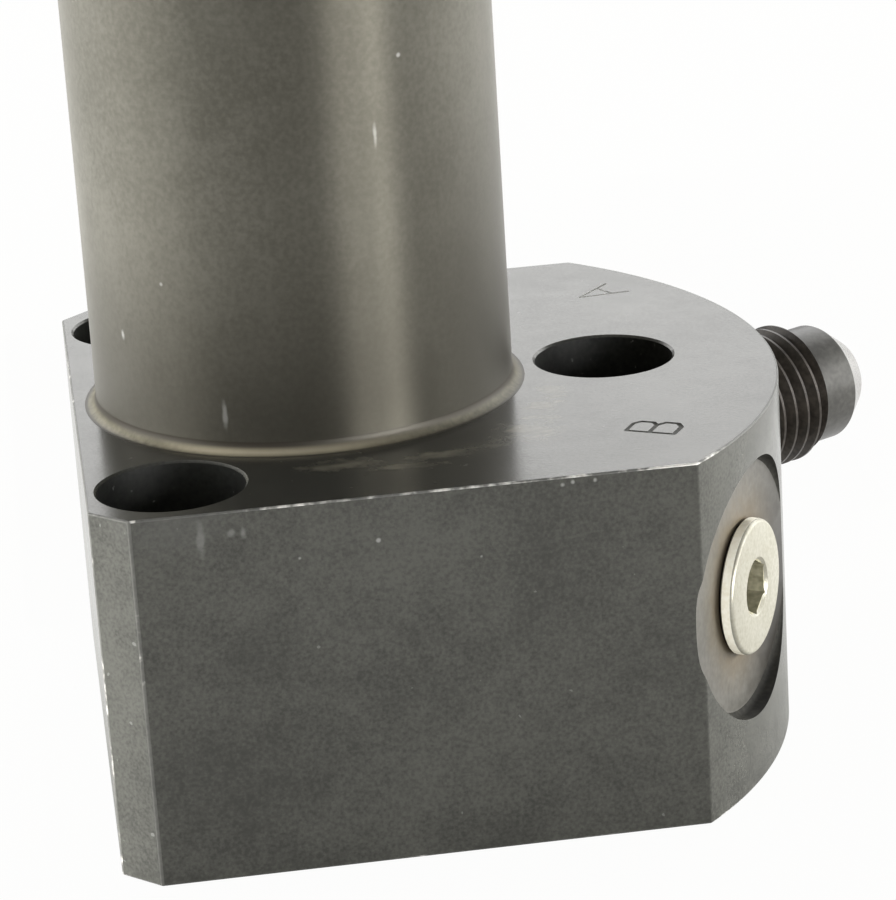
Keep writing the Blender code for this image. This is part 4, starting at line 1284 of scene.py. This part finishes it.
# Name, azimuth, elevation, distance, width, height, radiance and what it lights
LAMPS = [
    ("left_strip", 163, 0, 1.1, 1.4, 0.05, 390.0, "matt"),
    ("right_strip", 19, 0, 1.1, 1.4, 0.05, 280.0, "matt"),
    ("front_strip", -92, 0, 1.1, 1.4, 0.05, 45.0, "matt"),
    ("left_sheen", 178, 14, 1.15, 1.4, 0.8, 3.0, "gloss"),
    ("right_sheen", 8, 14, 1.15, 1.4, 0.8, 3.2, "gloss"),
    ("window_wide", -52, 8, 1.1, 0.60, 0.34, 16.5, "gloss"),
    ("window_near", -45, 8, 1.08, 0.08, 0.34, 46.0, "gloss"),
    ("window_far", -66, 8, 1.08, 0.07, 0.34, 26.0, "gloss"),
    ("ceiling", 83, 84, 1.2, 0.6, 0.4, 6.0, "gloss"),
    ("rear_box", 83, 30, 1.2, 2.0, 0.9, 2.2, "all"),
]


def soft_box(name, azimuth, elevation, distance, width, height, radiance, lights):
    """A soft box that faces the flange. Azimuth 0 is +X, 90 is +Y. It lights all, or matt or gloss alone."""
    a, e = math.radians(azimuth), math.radians(elevation)
    toward = Vector((math.cos(a) * math.cos(e), math.sin(a) * math.cos(e), math.sin(e)))
    data = bpy.data.lights.new(name, "AREA")
    data.shape = "RECTANGLE"
    data.size = width
    data.size_y = height
    data.energy = radiance * math.pi * width * height
    lamp = bpy.data.objects.new(name, data)
    lamp.location = toward * distance + Vector((0, 0, TARGET_HEIGHT))
    lamp.rotation_euler = toward.to_track_quat("Z", "Y").to_euler()
    lamp.visible_camera = False
    lamp.visible_glossy = lights != "matt"
    lamp.visible_diffuse = lights != "gloss"
    bpy.context.scene.collection.objects.link(lamp)
    return lamp


def flag(name, x, near_y, far_y):
    """An upright card that keeps a side lamp off the rear face. It is seen only as a shadow."""
    deselect_all()
    bpy.ops.mesh.primitive_plane_add(size=1)
    card = name_active(name)
    card.scale = (CARD_HEIGHT, far_y - near_y, 1)
    card.rotation_euler.y = math.pi / 2
    card.location = (x, (near_y + far_y) / 2, CARD_HEIGHT / 2)
    card.visible_camera = False
    card.visible_diffuse = False
    card.visible_glossy = False
    settle(card)


def make_light():
    world = bpy.data.worlds.new("studio")
    bpy.context.scene.world = world
    world.use_nodes = True
    tree = world.node_tree
    tree.nodes.clear()
    paths = node(tree, "ShaderNodeLightPath")
    seen = paths.outputs["Is Camera Ray"]
    strength = node(tree, "ShaderNodeMapRange", inputs={"Value": seen, "To Min": 0.3, "To Max": 1.0})
    back = node(tree, "ShaderNodeBackground", inputs={
        "Color": (1, 1, 0.985, 1), "Strength": strength.outputs["Result"]
    })
    out = node(tree, "ShaderNodeOutputWorld")
    tree.links.new(back.outputs["Background"], out.inputs["Surface"])
    for lamp in LAMPS:
        soft_box(*lamp)
    flag("left_flag", -22 * MM, 25.8 * MM, 110 * MM)
    flag("right_flag", 52 * MM, 34 * MM, 150 * MM)


CAMERA_PLACE = Vector((-19.12, -246.34, 105.19)) * MM
CAMERA_YAW = math.radians(6.77)
CAMERA_PITCH = math.radians(18.88)
CAMERA_ROLL = math.radians(3.64)
FOCAL_PIXELS = 3571.43
FRAME_HEIGHT_PIXELS = 900


def make_camera():
    """The camera at the photo's place: yaw to the right, pitch down, then roll about its own axis."""
    data = bpy.data.cameras.new("camera")
    data.sensor_width = 36
    data.lens = FOCAL_PIXELS * data.sensor_width / FRAME_HEIGHT_PIXELS
    data.clip_start = 0.01
    camera = bpy.data.objects.new("camera", data)
    bpy.context.scene.collection.objects.link(camera)
    forward = Vector((
        math.sin(CAMERA_YAW) * math.cos(CAMERA_PITCH),
        math.cos(CAMERA_YAW) * math.cos(CAMERA_PITCH),
        -math.sin(CAMERA_PITCH),
    ))
    level_right = Vector((math.cos(CAMERA_YAW), -math.sin(CAMERA_YAW), 0))
    level_down = forward.cross(level_right)
    right = math.cos(CAMERA_ROLL) * level_right + math.sin(CAMERA_ROLL) * level_down
    down = math.cos(CAMERA_ROLL) * level_down - math.sin(CAMERA_ROLL) * level_right
    turn = Matrix((right, -down, -forward)).transposed()
    camera.matrix_world = Matrix.Translation(CAMERA_PLACE) @ turn.to_4x4()
    bpy.context.scene.camera = camera


make_floor()
make_light()
make_camera()
bpy.context.scene.view_settings.view_transform = "Standard"
